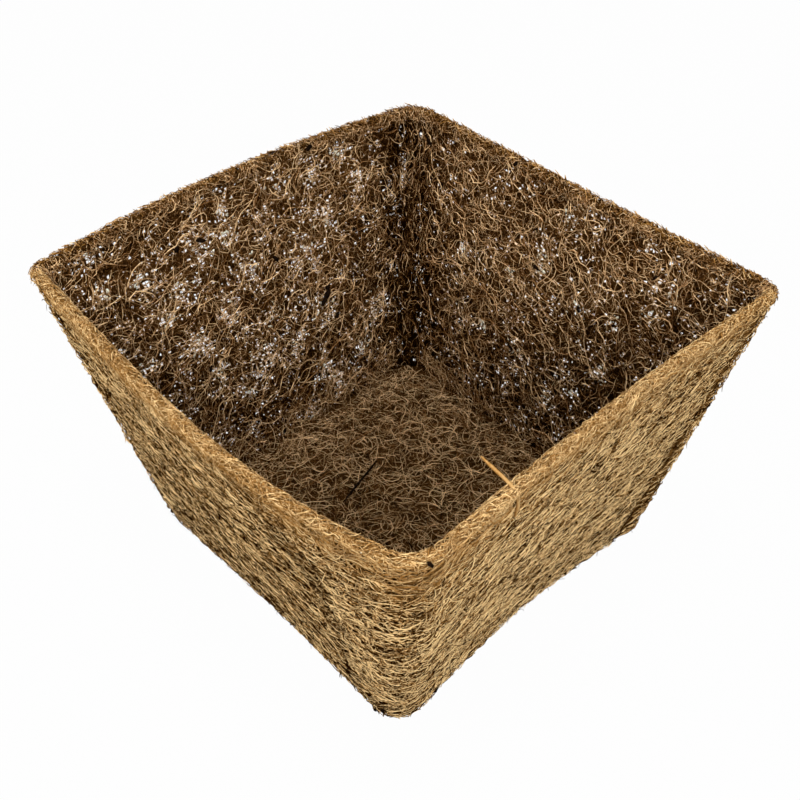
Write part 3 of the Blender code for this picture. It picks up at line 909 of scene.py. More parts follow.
def fibre_layer(settings, lay, wall, name, material, holes=None):
    """One layer of fibres on a wall.

    Outside, its tones stand further from the middle low down, and are darker in the patches of painted shade
    and in the seams' shadow.
    """
    name = WALL_NAMES[wall] + name
    rng = np.random.default_rng(SEED + 10 * wall + len(name))
    side = "inside" if lay.inner else "outside"
    width, length = (getattr(settings, side + size) for size in ("_width", "_length"))
    lines, depth, tone = laid_lines(rng, lay, length, settings.amount, wall, holes)
    points, facing = on_wall(wall, lines, depth, lay.inner)
    radius, ridge_highlight = fibre_shape(rng, lay.width * width, lay.ridge_highlight, len(points))
    if lay.inner:
        if wall in THIN:
            middle = lines[:, lines.shape[1] // 2]
            radius *= 1 - 0.35 * in_thin_place(wall, middle[:, 0], middle[:, 1])
        return tubes(name, points, facing, radius, tone, material, "wall_felt", ridge_highlight=ridge_highlight)
    along, height = lines[..., 0], lines[..., 1]
    soft = softness(wall, along, height)
    crisp = 1 + 0.5 * (1 - height / HEIGHT)
    tone = MIDDLE_TONE + (tone - MIDDLE_TONE) * crisp
    tone = tone + soft * (SOFT_TONE - tone) - seam_shadow(wall, along, height)
    # Patches of painted shade darken and tint the fibres
    stain = painted_patch_shade(wall, along, height)
    return tubes(name, points, facing, radius, tone - 0.14 * stain, material, "wall_felt",
                 ridge_highlight=ridge_highlight * crisp * (1 - soft), stain=stain, soft=soft)


def fibre_shape(rng, width, ridge_highlight, count):
    """Radius of each fibre and the painted highlight on its crest; for a split pair it is less than nothing,
    a painted shade line along the crest.
    """
    paired = rng.uniform(0, 1, count) < PAIRED
    radius = width / 2 * rng.lognormal(0, WIDTH_SPREAD, count) * np.where(paired, PAIR_WIDTH, 1.0)
    return radius, np.where(paired, -ridge_highlight, ridge_highlight)[:, None]


def softness(wall, along, height):
    """How far the fibres under the rim of a near wall are evened out towards one lighter tone, most by the
    near corner.
    """
    if wall in THIN:
        return np.zeros(np.shape(along))
    reach = 0.014 + 0.018 * by_corner(wall, along, height / HEIGHT, NEAR_CORNER, 0.060)
    return 0.8 * np.exp(-((HEIGHT - height) / reach) ** 2)


def seam_shadow(wall, along, height):
    """Darkness of the seams at both edges of a wall's outer layer, broken into stretches."""
    low, high = (edge.reshape(along.shape) for edge in outer_reach(wall, (height / HEIGHT).ravel()))
    broken = np.clip(0.6 + ripple(np.random.default_rng(wall + 40), along, height, 0.012), 0, 1)
    first, last = SEAMS[wall]
    return broken * (first * np.exp(-((along - low) / SEAM_WIDTH) ** 2)
                     + last * np.exp(-((high - along) / SEAM_WIDTH) ** 2))


def seen_behind(wall, along, height, depth):
    """Place in a wall's core that the camera sees behind a place at a depth in the felt.

    The camera's line goes on through the place until its depth is the core's. Along it the
    depth grows by the wall's lean times the rise, less the run outward.
    """
    level = height / HEIGHT
    outward = plan(level.ravel())[2][wall].reshape(*level.shape, 2)
    ray = on_felt(wall, along, level, depth)[0] - CAMERA_PLACE
    sideways = ray[..., 1] * outward[..., 0] - ray[..., 0] * outward[..., 1]
    out = (ray[..., :2] * outward).sum(axis=-1)
    step = (CORE_DEPTH[wall][0] - depth) / ((RIM_SIDE - BASE_SIDE) / 2 / HEIGHT * ray[..., 2] - out)
    return along + sideways * step, height + ray[..., 2] * step


def core_grid(wall):
    """Levels and distances along of the grid that a wall's core is made on, a little uneven inside."""
    columns, rows = FAR_CORE_POINTS if wall in THIN else NEAR_CORE_POINTS
    level, share = np.meshgrid(np.linspace(0.0015, 0.985, rows), np.linspace(0, 1, columns), indexing="ij")
    shift = np.random.default_rng(SEED + 820 + wall).uniform(-0.3, 0.3, (2, rows - 2, columns - 2))
    level[1:-1, 1:-1] += shift[0] / rows
    share[1:-1, 1:-1] += shift[1] / columns
    low, high = past_reach(wall, level.ravel())
    return level, (low + (high - low) * share.ravel()).reshape(level.shape)


def pinholes(wall, width):
    """Pierced cells of a wall's core, and the four corners of each hole as places in its cell.

    A cell is pierced by chance, more often in a thin place, as the camera sees it through the
    felt. A hole's corners are at the cell's diagonals, turned a little, at a distance that varies
    round half its width and is drawn out along one diagonal.
    """
    rng = np.random.default_rng(SEED + 800 + wall)
    level, along = ((part[:-1, :-1] + part[1:, 1:]) / 2 for part in core_grid(wall))
    marks = np.array(THIN[wall]) / 1000
    behind = seen_behind(wall, marks[:, 0], marks[:, 1], FELT)
    marks = np.column_stack([*behind, marks[:, 2]]) * 1000
    thinness = np.clip(1.5 - near_marks(marks, along, level * HEIGHT).min(axis=0), 0, 1)
    plain, thin = PIERCED[wall]
    chance = plain * (1 + 1.2 * ripple(rng, along, level * HEIGHT, 0.030)) + (thin - plain) * thinness
    row, column = np.nonzero((rng.uniform(0, 1, chance.shape) < chance) & (np.abs(level - 0.5) < 0.485))
    count = len(row)
    angle = np.radians(225 + 90 * np.arange(4)) + rng.uniform(-0.25, 0.25, (count, 4))
    cell = HEIGHT / len(level)
    reach = rng.lognormal(0, 0.4, (count, 1)) * rng.uniform(0.6, 1.3, (count, 4)) * width / cell / 2
    drawn = np.exp(rng.normal(0, 0.5, (count, 1)) * (1, -1, 1, -1))
    reach = reach * drawn * (0.78 + 0.75 * thinness[row, column, None])
    centre = rng.uniform(0.42, 0.58, (count, 1, 2))
    hole = centre + np.clip(reach, 0.15, 0.68)[..., None] * np.stack([np.cos(angle), np.sin(angle)], axis=-1)
    return row, column, np.clip(hole, 0.03, 0.97)


def hole_squares(wall, width):
    """Squares of a wall's core that are open, as (along, height) truths."""
    row, column, hole = pinholes(wall, width)
    level, along = core_grid(wall)
    corner = in_cell(np.stack([along, level * HEIGHT], axis=-1), row, column, hole)
    middle = corner.mean(axis=1)
    radius = np.linalg.norm(corner - middle[:, None], axis=-1).mean(axis=1)
    offset = np.stack(np.meshgrid(np.arange(-4, 5), np.arange(-4, 5)), axis=-1).reshape(-1, 2)
    square = np.floor(middle / HOLE_STEP).astype(int)[:, None] + offset
    near = np.linalg.norm((square + 0.5) * HOLE_STEP - middle[:, None], axis=-1) < radius[:, None] + 0.0001
    squares = np.zeros(SQUARES, bool)
    opened = np.clip(square[near] + FIRST_SQUARE, 0, SQUARES - 1)
    squares[opened[:, 0], opened[:, 1]] = True
    return squares


def at_square(squares, along, height):
    """Value of the squares at places in the core."""
    place = np.floor(np.stack([along, height], axis=-1) / HOLE_STEP).astype(int) + FIRST_SQUARE
    place = np.clip(place, 0, SQUARES - 1)
    return squares[place[..., 0], place[..., 1]]


def openness(squares):
    """How open it is round each square, by the open share of the nearest 25 squares.

    It is 0 up to a third and grows evenly to 1, where all 25 are open.
    """
    shifts = [(over, up) for over in range(-2, 3) for up in range(-2, 3)]
    share = sum(np.roll(squares, shift, axis=(0, 1)).astype(float) for shift in shifts) / len(shifts)
    return np.clip(1.5 * share - 0.5, 0, 1)


# Outer and inner face of each wall's felt core, as depths from the outer face
CORE_DEPTH = {FRONT: (0.0012, 0.0046), RIGHT: (0.0012, 0.0046),
              BACK: (0.0022, 0.0026), LEFT: (0.0022, 0.0026)}
# How much lighter the brown core of the far walls is on its outer face
FAR_CORE_LIGHTER = 0.30


def wall_core(settings, wall, material):
    """Closed sheet of felt inside a wall, pierced in the walls that let light through."""
    level, along = core_grid(wall)
    height = level * HEIGHT
    lump = 0.0003 * ripple(np.random.default_rng(90 + wall), along, height, 0.006)
    faces = [on_felt(wall, along, level, depth + lump)[0] for depth in CORE_DEPTH[wall]]
    weave = [np.stack([along * 0.22, height], axis=-1), np.stack([along + 1, height], axis=-1)]
    pierced = pinholes(wall, settings.pinhole_width) if wall in THIN else None
    # The core's tone carries the wall's painted light and shade, darkened by the seams' shadow
    outside = painted_wall_shading(wall, along, level, False) - seam_shadow(wall, along, height)
    tones = outside, outside
    if wall in THIN:
        tones = outside + FAR_CORE_LIGHTER, painted_wall_shading(wall, along, level, True)
    return sheet_piece(WALL_NAMES[wall] + "_core", faces, weave, tones, material, pierced)


def rim_tone(way):
    """Tone of the rim at a way round it from the front's middle: pale on the near walls, brown on the far."""
    where = station(FRONT, way.ravel(), np.ones(way.size))
    tones = (0.04, 0.06, 0.12, 0.12, -0.26, -0.30, -0.32, -0.30, 0.04)
    return np.interp(where, np.arange(9), tones).reshape(way.shape)


def rim_edge(material):
    """Rounded band under the cut edge, all round: a half round section carried along the rim."""
    columns, turns = 640, 9
    top, bottom = 0.995, 0.972
    middle, half_width, roundness = 0.0028, 0.0018, 0.0045
    share = np.linspace(0, 1, columns)
    angle = np.linspace(0, np.pi, turns)
    way = perimeter(1.0) * np.tile(share, turns)
    drop = roundness * (1 - np.repeat(np.sin(angle), columns) ** 0.5)
    inset = middle - half_width * np.repeat(np.cos(angle), columns)
    where = station(FRONT, way, np.ones(len(way)))
    turn_round = 2 * np.pi * np.tile(share, turns)
    lump = 0.00035 * np.sin(turn_round * 150 + 3 * np.sin(turn_round * 23) + np.repeat(angle, columns) * 2)
    lump += 0.0004 * np.sin(turn_round * 61 + 4 * np.sin(turn_round * 9))
    upper = shell(where, top - (drop - lump) / HEIGHT, inset)[0].reshape(turns, columns, 3)
    lower = shell(where, np.full(len(way), bottom), inset)[0].reshape(turns, columns, 3)
    weave = np.stack([way, inset * 2], axis=-1).reshape(turns, columns, 2)
    tones = [rim_tone(way).reshape(turns, columns)] * 2
    return sheet_piece("rim_edge", (upper, lower), (weave, weave + 1), tones, material,
                       looped=True)


def perimeter(level):
    """Length of the outer outline at a level."""
    level = np.array([level])
    return sum(wall_run(k, level)[0] + corner_run(k, level)[0] for k in range(4))


def rim_ends(settings, material):
    """Short cut ends all round the rim: pieces along and across the cut face, some standing up."""
    rng = np.random.default_rng(SEED + 300)
    count = int(3000 * settings.amount)
    way = rng.uniform(0, perimeter(1.0), count)
    inset = rng.uniform(0.0, FELT, count)[:, None]
    turn = rng.normal(0, 0.6, count)[:, None]
    length = rng.gamma(5, 0.0009, count)[:, None]
    share = np.linspace(-0.5, 0.5, 4)
    bend = rng.normal(0, 0.5, count)[:, None] * (share ** 2 - 0.08)
    run = way[:, None] + length * (np.cos(turn) * share - np.sin(turn) * bend)
    across = inset + length * (np.sin(turn) * share + np.cos(turn) * bend)
    across = np.clip(across, -0.0007, FELT + 0.0004)
    edge = 0.0022 * np.abs(across / FELT - 0.5) ** 3 * 8
    lift = rng.uniform(-0.0011, 0.0002, count)[:, None] + 0.0003 * np.cos(np.pi * share)
    far = rim_tone(way) < -0.1
    stands = rng.uniform(0, 1, count) < np.where(far, 0.60, 0.14)
    lift = lift + np.where(stands, rng.uniform(0.0006, 0.0030, count), 0)[:, None] * (share + 0.5) ** 2 - edge
    points = on_felt(FRONT, run, 1.0, across)[0]
    points[..., 2] += lift
    # Painted light: ends that stand higher are lighter; the cut face is a little darker towards the inside
    tone = (rng.normal(0.55, np.where(far, 0.18, 0.10))[:, None] + rim_tone(run)
            + np.where(far, 160, 60)[:, None] * (lift + edge) - 0.06 * np.clip(across / FELT, 0, 1))
    radius = settings.outside_width * np.where(far, 0.60, 0.5) * rng.lognormal(0, WIDTH_SPREAD, count)
    facing = np.broadcast_to(UP, points.shape)
    return tubes("rim_cut_ends", points, facing, radius, tone, material, "wall_felt", ridge_highlight=0.08)


def rim_fibres(settings, lay, walls, name, material):
    """Fibres over the rim of two walls.

    Their profile comes up the inside, crosses the cut face and goes down the outside. They face
    along a half circle over the cut face: -cos(pi * share) outward and sin(pi * share) up.
    """
    rng = np.random.default_rng(SEED + 350 + len(name))
    made = []
    for wall in walls:
        count = int(lay.count * settings.amount)
        low, high = (edge[0] for edge in past_reach(wall, np.ones(1)))
        middle = np.column_stack([rng.uniform(low, high, count), rng.uniform(-0.004, FELT + 0.003, count)])
        loose = rng.uniform(0, 1, count) < lay.loose
        length = varied(rng, lay.length * settings.inside_length, count)
        lines = wander(rng, middle, rng.normal(0, np.where(loose, 1.0, lay.heading)), length,
                       rng.normal(0, lay.curl, count), unsteady(rng, lay.waver, count))
        inside = ((lines > (low, -0.006)) & (lines < (high, FELT + 0.004))).all(axis=-1)
        lines, kept = cut_lines(lines, inside, lay.segments)
        shape = lines.shape[:2]
        sway = swaying(rng, shape, 7)
        raised = rng.uniform(*lay.depth, count)[kept, None] + lay.sway * sway
        across = lines[..., 1]
        share = np.clip(across / FELT, 0, 1)
        drop = np.maximum(-across, 0) + np.maximum(across - FELT, 0) + 0.0012 * (2 * share - 1) ** 4
        points, outward = on_felt(wall, lines[..., 0], 1 - drop / HEIGHT, FELT * (1 - share))
        turn = np.pi * share[..., None]
        facing = UP * np.sin(turn) - outward * np.cos(turn)
        # Painted shade: fibres lying lower over the rim are darker
        painted_depth_shade = (raised - lay.depth[0]) / (lay.depth[1] - lay.depth[0]) - 0.5
        tone = rng.normal(*lay.tone, shape[0])[:, None] + lay.painted_depth_shade * painted_depth_shade + 0.06 * share
        made.append((points + facing * raised[..., None], facing, tone))
    points, facing, tone = joined(made)
    radius, ridge_highlight = fibre_shape(rng, lay.width * settings.inside_width, lay.ridge_highlight, len(points))
    return tubes(name, points, facing, radius, tone, material, "wall_felt", ridge_highlight=ridge_highlight)


def foot_tangle(settings, material):
    """Fibres round the joint of the walls and the floor, inside.

    Their profile comes down the wall, turns a quarter circle of the cove's radius, and runs out
    over the floor.
    """
    rng = np.random.default_rng(SEED + 400)
    arc = COVE_RADIUS * np.pi / 2
    made = []
    for wall in range(4):
        count = int(500 * settings.amount)
        half = wall_run(wall, np.array([0.05]))[0] / 2
        middle = np.column_stack([half * rng.uniform(-1, 1, count), rng.uniform(-0.006, arc + 0.008, count)])
        lines = wander(rng, middle, rng.normal(0, 1.0, count), rng.gamma(5, 0.0042, count),
                       rng.normal(0, 60, count), rng.uniform(0.05, 0.35, count))
        inside = ((lines > (-half, -0.012)) & (lines < (half, arc + 0.014))).all(axis=-1)
        lines, _ = cut_lines(lines, inside, 6)
        shape = lines.shape[:2]
        run = lines[..., 1]
        turn = np.clip(run / COVE_RADIUS, 0, np.pi / 2)
        raised = rng.uniform(-0.0006, 0.0006, shape[0])[:, None] + 0.0004 * swaying(rng, shape, 9, 6)
        inset = FELT + (COVE_RADIUS - raised) * (1 - np.cos(turn)) + np.maximum(run - arc, 0) + raised
        height = PAD_THICKNESS + COVE_RADIUS * (1 - np.sin(turn)) + np.maximum(-run, 0)
        height = height + raised * np.sin(turn)
        points, outward = on_felt(wall, lines[..., 0], height / HEIGHT, inset)
        facing = UP * np.sin(turn)[..., None] - outward * np.cos(turn)[..., None]
        # Painted shade: fibres lying lower are darker
        made.append((points, facing, rng.normal(0.34, 0.18, shape[0])[:, None] + 320 * raised))
    points, facing, tone = joined(made)
    radius, ridge_highlight = fibre_shape(rng, settings.inside_width, 0.55, len(points))
    return tubes("floor_joint_tangle", points, facing, radius, tone, material, "pad_felt", ridge_highlight=ridge_highlight)


def patch(rows, columns, inset, level):
    """Grid over the floor blended from its four sides, each a run of stations from corner to corner.

    A point is the blend of the two sides across plus the blend of the two sides along, less the
    blend of the four corners.
    """
    u, v = np.linspace(0, 1, columns), np.linspace(0, 1, rows)

    def side(start, end, share):
        where = (start + (end - start) * share) % 8
        return shell(where, np.full(len(share), level), np.full(len(share), inset))[0]

    front, back = side(7.5, 9.5, u), side(5.5, 3.5, u)
    left, right = side(7.5, 5.5, v), side(1.5, 3.5, v)
    u, v = u[None, :, None], v[:, None, None]
    along = (1 - v) * front[None] + v * back[None]
    across = (1 - u) * left[:, None] + u * right[:, None]
    corners = ((1 - u) * (1 - v) * front[0] + u * (1 - v) * front[-1]
               + (1 - u) * v * back[0] + u * v * back[-1])
    return along + across - corners


def pad_core(material):
    """Core of the base pad, which fills the floor out to the walls' middles."""
    rows = columns = 70
    upper, lower = (patch(rows, columns, 0.0020, level) for level in (0.03, 0.006))
    weave = upper[..., :2].copy()
    lump = 0.0004 * ripple(np.random.default_rng(5), weave[..., 0], weave[..., 1], 0.008)
    upper[..., 2] = PAD_THICKNESS - 0.0022 + lump
    lower[..., 2] = 0.0010 + lump
    tones = [np.full((rows, columns), tone) for tone in (-0.02, 0.24)]
    return sheet_piece("base_pad_core", (upper, lower), (weave, weave + 1), tones, material)


def pad_fibres(settings, name, count, segments, depth, length, curl, tone, seed, up, material):
    """Tangled fibres over the floor or under the pad, at heights drawn from depth."""
    rng = np.random.default_rng(SEED + seed)
    count = int(count * settings.amount)
    half = BASE_SIDE / 2
    middle = half * (2 * evenly(rng, count) - 1)
    swirl = 2.4 * ripple(np.random.default_rng(seed), middle[:, 0], middle[:, 1], 0.035)
    lines = wander(rng, middle, swirl + rng.normal(0, 1.5, count), varied(rng, length, count),
                   rng.normal(0, curl, count), unsteady(rng, 0.3, count))
    # Room to the inner faces at the foot: half the side less the felt, plus each wall's own bow
    along = np.stack([lines[..., k] for k in (0, 1, 0, 1)])
    toward = np.stack([sign * lines[..., k] for sign, k in ((1, 1), (-1, 0), (-1, 1), (1, 0))])
    bow = BOW[:, 0, None, None] * np.sin(np.pi * np.clip(along / BASE_SIDE + 0.5, 0, 1))
    inside = (half - FELT + bow + toward > (0.0 if up else -0.003)).all(axis=0)
    lines, _ = cut_lines(lines, inside, segments)
    count, rings = lines.shape[:2]
    sway = swaying(rng, (count, rings), rng.uniform(4, 10, (count, 1)))
    height = rng.uniform(*depth, count)[:, None] + 0.0005 * sway
    points = np.concatenate([lines - MIDDLE + BASE_SHIFT, np.maximum(height, 0.0003)[..., None]], axis=-1)
    side = 1 if up else -1
    # Painted shade: fibres lying deeper in the pad are darker
    raised = side * (height - sum(depth) / 2) / (depth[1] - depth[0])
    tones = rng.normal(*tone, count)[:, None] + 1.2 * raised
    radius, ridge_highlight = fibre_shape(rng, 0.82 * settings.inside_width, 0.50, count)
    return tubes(name, points, np.broadcast_to(side * UP, points.shape), radius, tones, material, "pad_felt",
                 ridge_highlight=ridge_highlight)


def long_curls(settings, material):
    """Long pale fibres lying in curls on the inner walls and the floor."""
    rng = np.random.default_rng(SEED + 500)
    segments = 14
    made = []
    for wall, share in ((BACK, 0.3), (LEFT, 0.35), (FRONT, 0.1), (RIGHT, 0.1)):
        number = max(int(settings.curls * share), 1)
        level = rng.uniform(0.08, 0.94, number)
        middle = np.column_stack([0.085 * rng.uniform(-1, 1, number), level * HEIGHT])
        lines = wander(rng, middle, all_round(rng, number), rng.uniform(0.025, 0.065, number),
                       rng.normal(0, 55, number), rng.uniform(0.2, 0.6, number))
        height = lines[..., 1] / HEIGHT
        inside = (height > 0.06) & (height < 0.98) & within(inner_reach, wall, lines)
        lines, _ = cut_lines(lines, inside, segments)
        depth = 0.0064 + 0.0003 * swaying(rng, lines.shape[:2], 14, 6)
        made.append(on_wall(wall, lines, depth, True))
    number = max(int(settings.curls * 0.2), 1)
    middle = rng.uniform(-0.07, 0.07, (number, 2))
    lines = wander(rng, middle, all_round(rng, number), rng.uniform(0.025, 0.055, number),
                   rng.normal(0, 50, number), rng.uniform(0.2, 0.6, number))
    lines, _ = cut_lines(lines, (np.abs(lines) < 0.082).all(axis=-1), segments)
    height = 0.0066 + 0.0004 * swaying(rng, lines.shape[:2], 14, 6)
    points = np.concatenate([lines, height[..., None]], axis=-1)
    made.append((points, np.broadcast_to(UP, points.shape)))
    points, facing = joined(made)
    tone = rng.normal(0.60, 0.12, len(points))[:, None] * np.ones(points.shape[1])
    radius = settings.inside_width * 0.5 * rng.lognormal(0, 0.2, len(points))
    return tubes("long_curls", points, facing, radius, tone, material, "wall_felt")


def loose_ends(settings, material):
    """Fibres that stand off the outside by one end, more of them low down."""
    rng = np.random.default_rng(SEED + 600)
    made = []
    for wall in range(4):
        count = int(220 * settings.amount)
        level = rng.beta(0.8, 1.2, count) * 0.97 + 0.01
        low, high = outer_reach(wall, level)
        along = low + (high - low) * rng.uniform(0.01, 0.99, count)
        length = rng.uniform(0.004, 0.010, count)
        middle = np.column_stack([along, level * HEIGHT])
        lines = wander(rng, middle, all_round(rng, count), length, rng.normal(0, 160, count),
                       rng.uniform(0.1, 0.5, count))
        lines, _ = cut_lines(lines, (lines[..., 1] > 0.0008) & (lines[..., 1] < HEIGHT * 0.995), 5)
        lift = rng.uniform(0.0006, 0.0030, (len(lines), 1)) * np.linspace(0, 1, 6) ** 1.5
        made.append(on_wall(wall, lines, 0.0002 - lift, False))
    points, facing = joined(made)
    tone = rng.normal(0.30, 0.2, len(points))[:, None] - 0.4 * (points[..., 2] < 0.03)
    radius = settings.outside_width * 0.36 * rng.lognormal(0, 0.25, len(points))
    return tubes("loose_ends", points, facing, radius, tone, material, "wall_felt")


# The twelve points and twenty faces of an icosahedron
GOLDEN = (1 + 5 ** 0.5) / 2
BALL = np.array([(-1, GOLDEN, 0), (1, GOLDEN, 0), (-1, -GOLDEN, 0), (1, -GOLDEN, 0),
                 (0, -1, GOLDEN), (0, 1, GOLDEN), (0, -1, -GOLDEN), (0, 1, -GOLDEN),
                 (GOLDEN, 0, -1), (GOLDEN, 0, 1), (-GOLDEN, 0, -1), (-GOLDEN, 0, 1)])
BALL /= np.linalg.norm(BALL[0])
BALL_FACES = np.array([(0, 11, 5), (0, 5, 1), (0, 1, 7), (0, 7, 10), (0, 10, 11),
                       (1, 5, 9), (5, 11, 4), (11, 10, 2), (10, 7, 6), (7, 1, 8),
                       (3, 9, 4), (3, 4, 2), (3, 2, 6), (3, 6, 8), (3, 8, 9),
                       (4, 9, 5), (2, 4, 11), (6, 2, 10), (8, 6, 7), (9, 8, 1)])

# Dark bits and pale specks that the photograph shows on each wall: distance along, height and
# size in millimetres
DARK_MARKS = {
    LEFT: ((-50.5, 160, 1.6), (-66.5, 127.5, 1.4), (-14, 110, 1.6), (-41, 76.5, 2.4), (-38, 73, 1.9),
           (-43, 80, 1.8), (44, 69.5, 1.4), (-45.5, 61.5, 1.5), (28, 137, 1.7), (42.5, 138.5, 1.6),
           (-69, 107, 1.3)),
    BACK: ((39.5, 162, 1.3), (10.5, 112.5, 1.3), (15.5, 59.5, 1.2), (-21.5, 103.5, 1.3), (-44, 105, 1.2),
           (-59, 140.5, 1.2), (104, 148.5, 1.4)),
    FRONT: ((-125, 150, 1.6), (-124, 145, 1.3), (-127, 156, 1.0), (84, 3, 1.4), (78, 5, 1.1), (90, 8, 1.2)),
    RIGHT: ((-70, 4, 1.3), (-66, 12, 1.0), (30, 4, 1.2), (-115.5, 160, 1.1)),
}
# Pale specks: some are bits caught in the felt; those on the back wall sit in its thin places and paint the
# glints of light there
PALE_AND_GLINT_MARKS = {BACK: ((27, 100.5, 0.8), (-1.5, 147, 0.7), (10, 122, 0.7), (24, 97, 0.6), (30, 103, 0.7)),
              FRONT: ((110, 162, 0.9),), RIGHT: ((-69, 116, 0.6),)}

# Control points of the twig on the floor, and of the thick stray fibre from its place on the rim,
# in millimetres, and in metres how thick each is and how far along the rim that place is
TWIG = ((-22, -18, 6.6), (-27, -2, 7.4), (-28, 2, 7.0), (-33, 17, 6.8))
TWIG_WIDTH = 0.0012
STRAY = ((-2.4, 1.5, -17), (-0.4, 1, -8), (1.2, 0, 1), (-6, -3, 3), (-16, -5, 9))
STRAY_ALONG, STRAY_WIDTH = -0.068, 0.0016


def crumbs(name, rng, places, stretch, material):
    """Angular crumbs: an icosahedron's points, each moved out by its own share, drawn out one way.

    The places are the middles, facing directions and sizes of the crumbs. They are flat towards
    their facing, and the stretch is the least and most that one is drawn out.
    """
    middle, facing, size = places
    count = len(size)
    stretch = rng.uniform(*stretch, count)
    random = rng.normal(0, 1, (count, 3))
    long = np.cross(facing, random)
    long /= np.linalg.norm(long, axis=-1, keepdims=True)
    wide = np.cross(facing, long)
    scale = size[:, None] * np.stack([stretch, np.ones(count), np.full(count, 0.4)], axis=-1)
    shape = BALL * rng.uniform(0.45, 1.3, (count, 12, 1)) * scale[:, None]
    points = middle[:, None] + (shape[..., 0:1] * long[:, None] + shape[..., 1:2] * wide[:, None]
                                + shape[..., 2:3] * facing[:, None])
    faces = (np.arange(count)[:, None, None] * 12 + BALL_FACES).reshape(-1, 3)
    return mesh_piece(name, points.reshape(-1, 3), [faces], material)


def caught(rng, marks, count, inner_share, scale=1.1):
    """Places, facing directions and sizes of the marked bits and of a count of scattered ones."""
    made = []
    for wall in range(4):
        marked = np.array(marks.get(wall, ())).reshape(-1, 3) / 1000
        far = wall in THIN
        share, inside = (0.35, inner_share) if far else (0.15, 0.3)
        number = int(count * share)
        level = rng.uniform(0.03, 0.97, number)
        along = 0.095 * rng.uniform(-1, 1, number)
        scattered = np.column_stack([along, level * HEIGHT, rng.gamma(4, 0.00014, number)])
        every = np.concatenate([marked, scattered])
        inner = np.concatenate([np.full(len(marked), far), rng.uniform(0, 1, number) < inside])
        level = np.minimum(every[:, 1] / HEIGHT, 0.99)
        points, facing = on_felt(wall, every[:, 0], level, np.where(inner, FELT + 0.0008, -0.0005))
        made.append((points, facing * np.where(inner, -1, 1)[:, None], every[:, 2] * scale))
    return joined(made)


def latex_flecks(settings, material):
    """Small flat flecks of binder strung between the fibres in the thin places; their pale colour also paints
    the glints and the light coming through there.
    """
    rng = np.random.default_rng(SEED + 900)
    made = []
    for wall, marks in THIN.items():
        marks = np.repeat(np.array(marks) / 1000, settings.flecks, axis=0)
        along, height = (marks[:, k] + 0.6 * marks[:, 2] * rng.normal(0, 1, len(marks)) for k in (0, 1))
        level = np.clip(height / HEIGHT, 0.05, 0.97)
        made.append(on_felt(wall, along, level, rng.uniform(0.0048, 0.0060, len(marks))))
    points, facing = joined(made)
    size = rng.gamma(4, 0.00010, len(points))
    return crumbs("latex_flecks", rng, (points, -facing, size), (1.0, 2.5), material)


def bezier(controls, count):
    """Points of the Bezier curve with these control points in millimetres, at even steps of its parameter."""
    share = np.linspace(0, 1, count)[:, None, None]
    points = np.broadcast_to(np.array(controls) / 1000, (count, len(controls), 3))
    while points.shape[1] > 1:
        points = points[:, :-1] * (1 - share) + points[:, 1:] * share
    return points[:, 0]


def floor_twig(material):
    """Dark twig lying on the floor."""
    line = bezier(TWIG, 13)[None]
    return tubes("floor_twig", line, np.broadcast_to(UP, line.shape), np.array([TWIG_WIDTH / 2]),
                 np.zeros(line.shape[:2]), material, "pad_felt", 6)


def rim_stray(material):
    """Thick pale fibre that comes up the outside of the right wall and stands over its rim."""
    line = (on_felt(RIGHT, STRAY_ALONG, 1.0, 0.0)[0] + bezier(STRAY, 17))[None]
    return tubes("rim_stray_fibre", line, np.broadcast_to((1.0, 0.0, 0.0), line.shape),
                 np.array([STRAY_WIDTH / 2]), np.full(line.shape[:2], 0.55), material, "wall_felt", 6)


def coir_colours(context, side):
    """Dark, body and light colours of the coir on one side of the basket."""
    colours = context.scene.basket_colours
    return [getattr(colours, side + depth) for depth in ("_dark", "_body", "_light")]


class BASKET_OT_felt(bpy.types.Operator):
    """Make the felt core of the four walls"""
    bl_idname = "basket.felt"
    bl_label = "Wall felt"

    def execute(self, context):
        near = felt_finish("matted coir", coir_colours(context, "outside"), 0.03, 0.40)
        far = felt_finish("matted brown coir", coir_colours(context, "inside"), 0.02, 0.36)
        for wall, name in enumerate(WALL_NAMES):
            core = wall_core(context.scene.basket_fibres, wall, far if wall in THIN else near)
            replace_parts(core, name)
        return {"FINISHED"}


class BASKET_OT_outside(bpy.types.Operator):
    """Lay the combed fibres on the outside"""
    bl_idname = "basket.outside"
    bl_label = "Outside fibres"

    def execute(self, context):
        settings = context.scene.basket_fibres
        finish = fibre_finish("combed coir", coir_colours(context, "outside"), roughness=0.42, speckle=2.2,
                              mottle=0.30, grain=(0.8, 0.8, 1.3))
        for wall in range(4):
            if wall in THIN:
                holes = hole_squares(wall, settings.pinhole_width)
                fibre_layer(settings, COMBED_FAR, wall, "_combed", finish, holes)
            else:
                fibre_layer(settings, COMBED, wall, "_combed", finish)
                fibre_layer(settings, COMBED_UNDER, wall, "_combed_under", finish)
        return {"FINISHED"}


class BASKET_OT_inside(bpy.types.Operator):
    """Lay the tangled fibres on the inside"""
    bl_idname = "basket.inside"
    bl_label = "Inside fibres"

    def execute(self, context):
        settings = context.scene.basket_fibres
        finish = fibre_finish("tangled coir", coir_colours(context, "inside"), 0.42)
        for wall in range(4):
            if wall in THIN:
                holes = hole_squares(wall, settings.pinhole_width)
                fibre_layer(settings, TANGLE, wall, "_tangle", finish, holes)
                fibre_layer(settings, DEEP_TANGLE, wall, "_deep_tangle", finish, holes)
            else:
                fibre_layer(settings, PLAIN_TANGLE, wall, "_tangle", finish)
        foot_tangle(settings, finish)
        return {"FINISHED"}


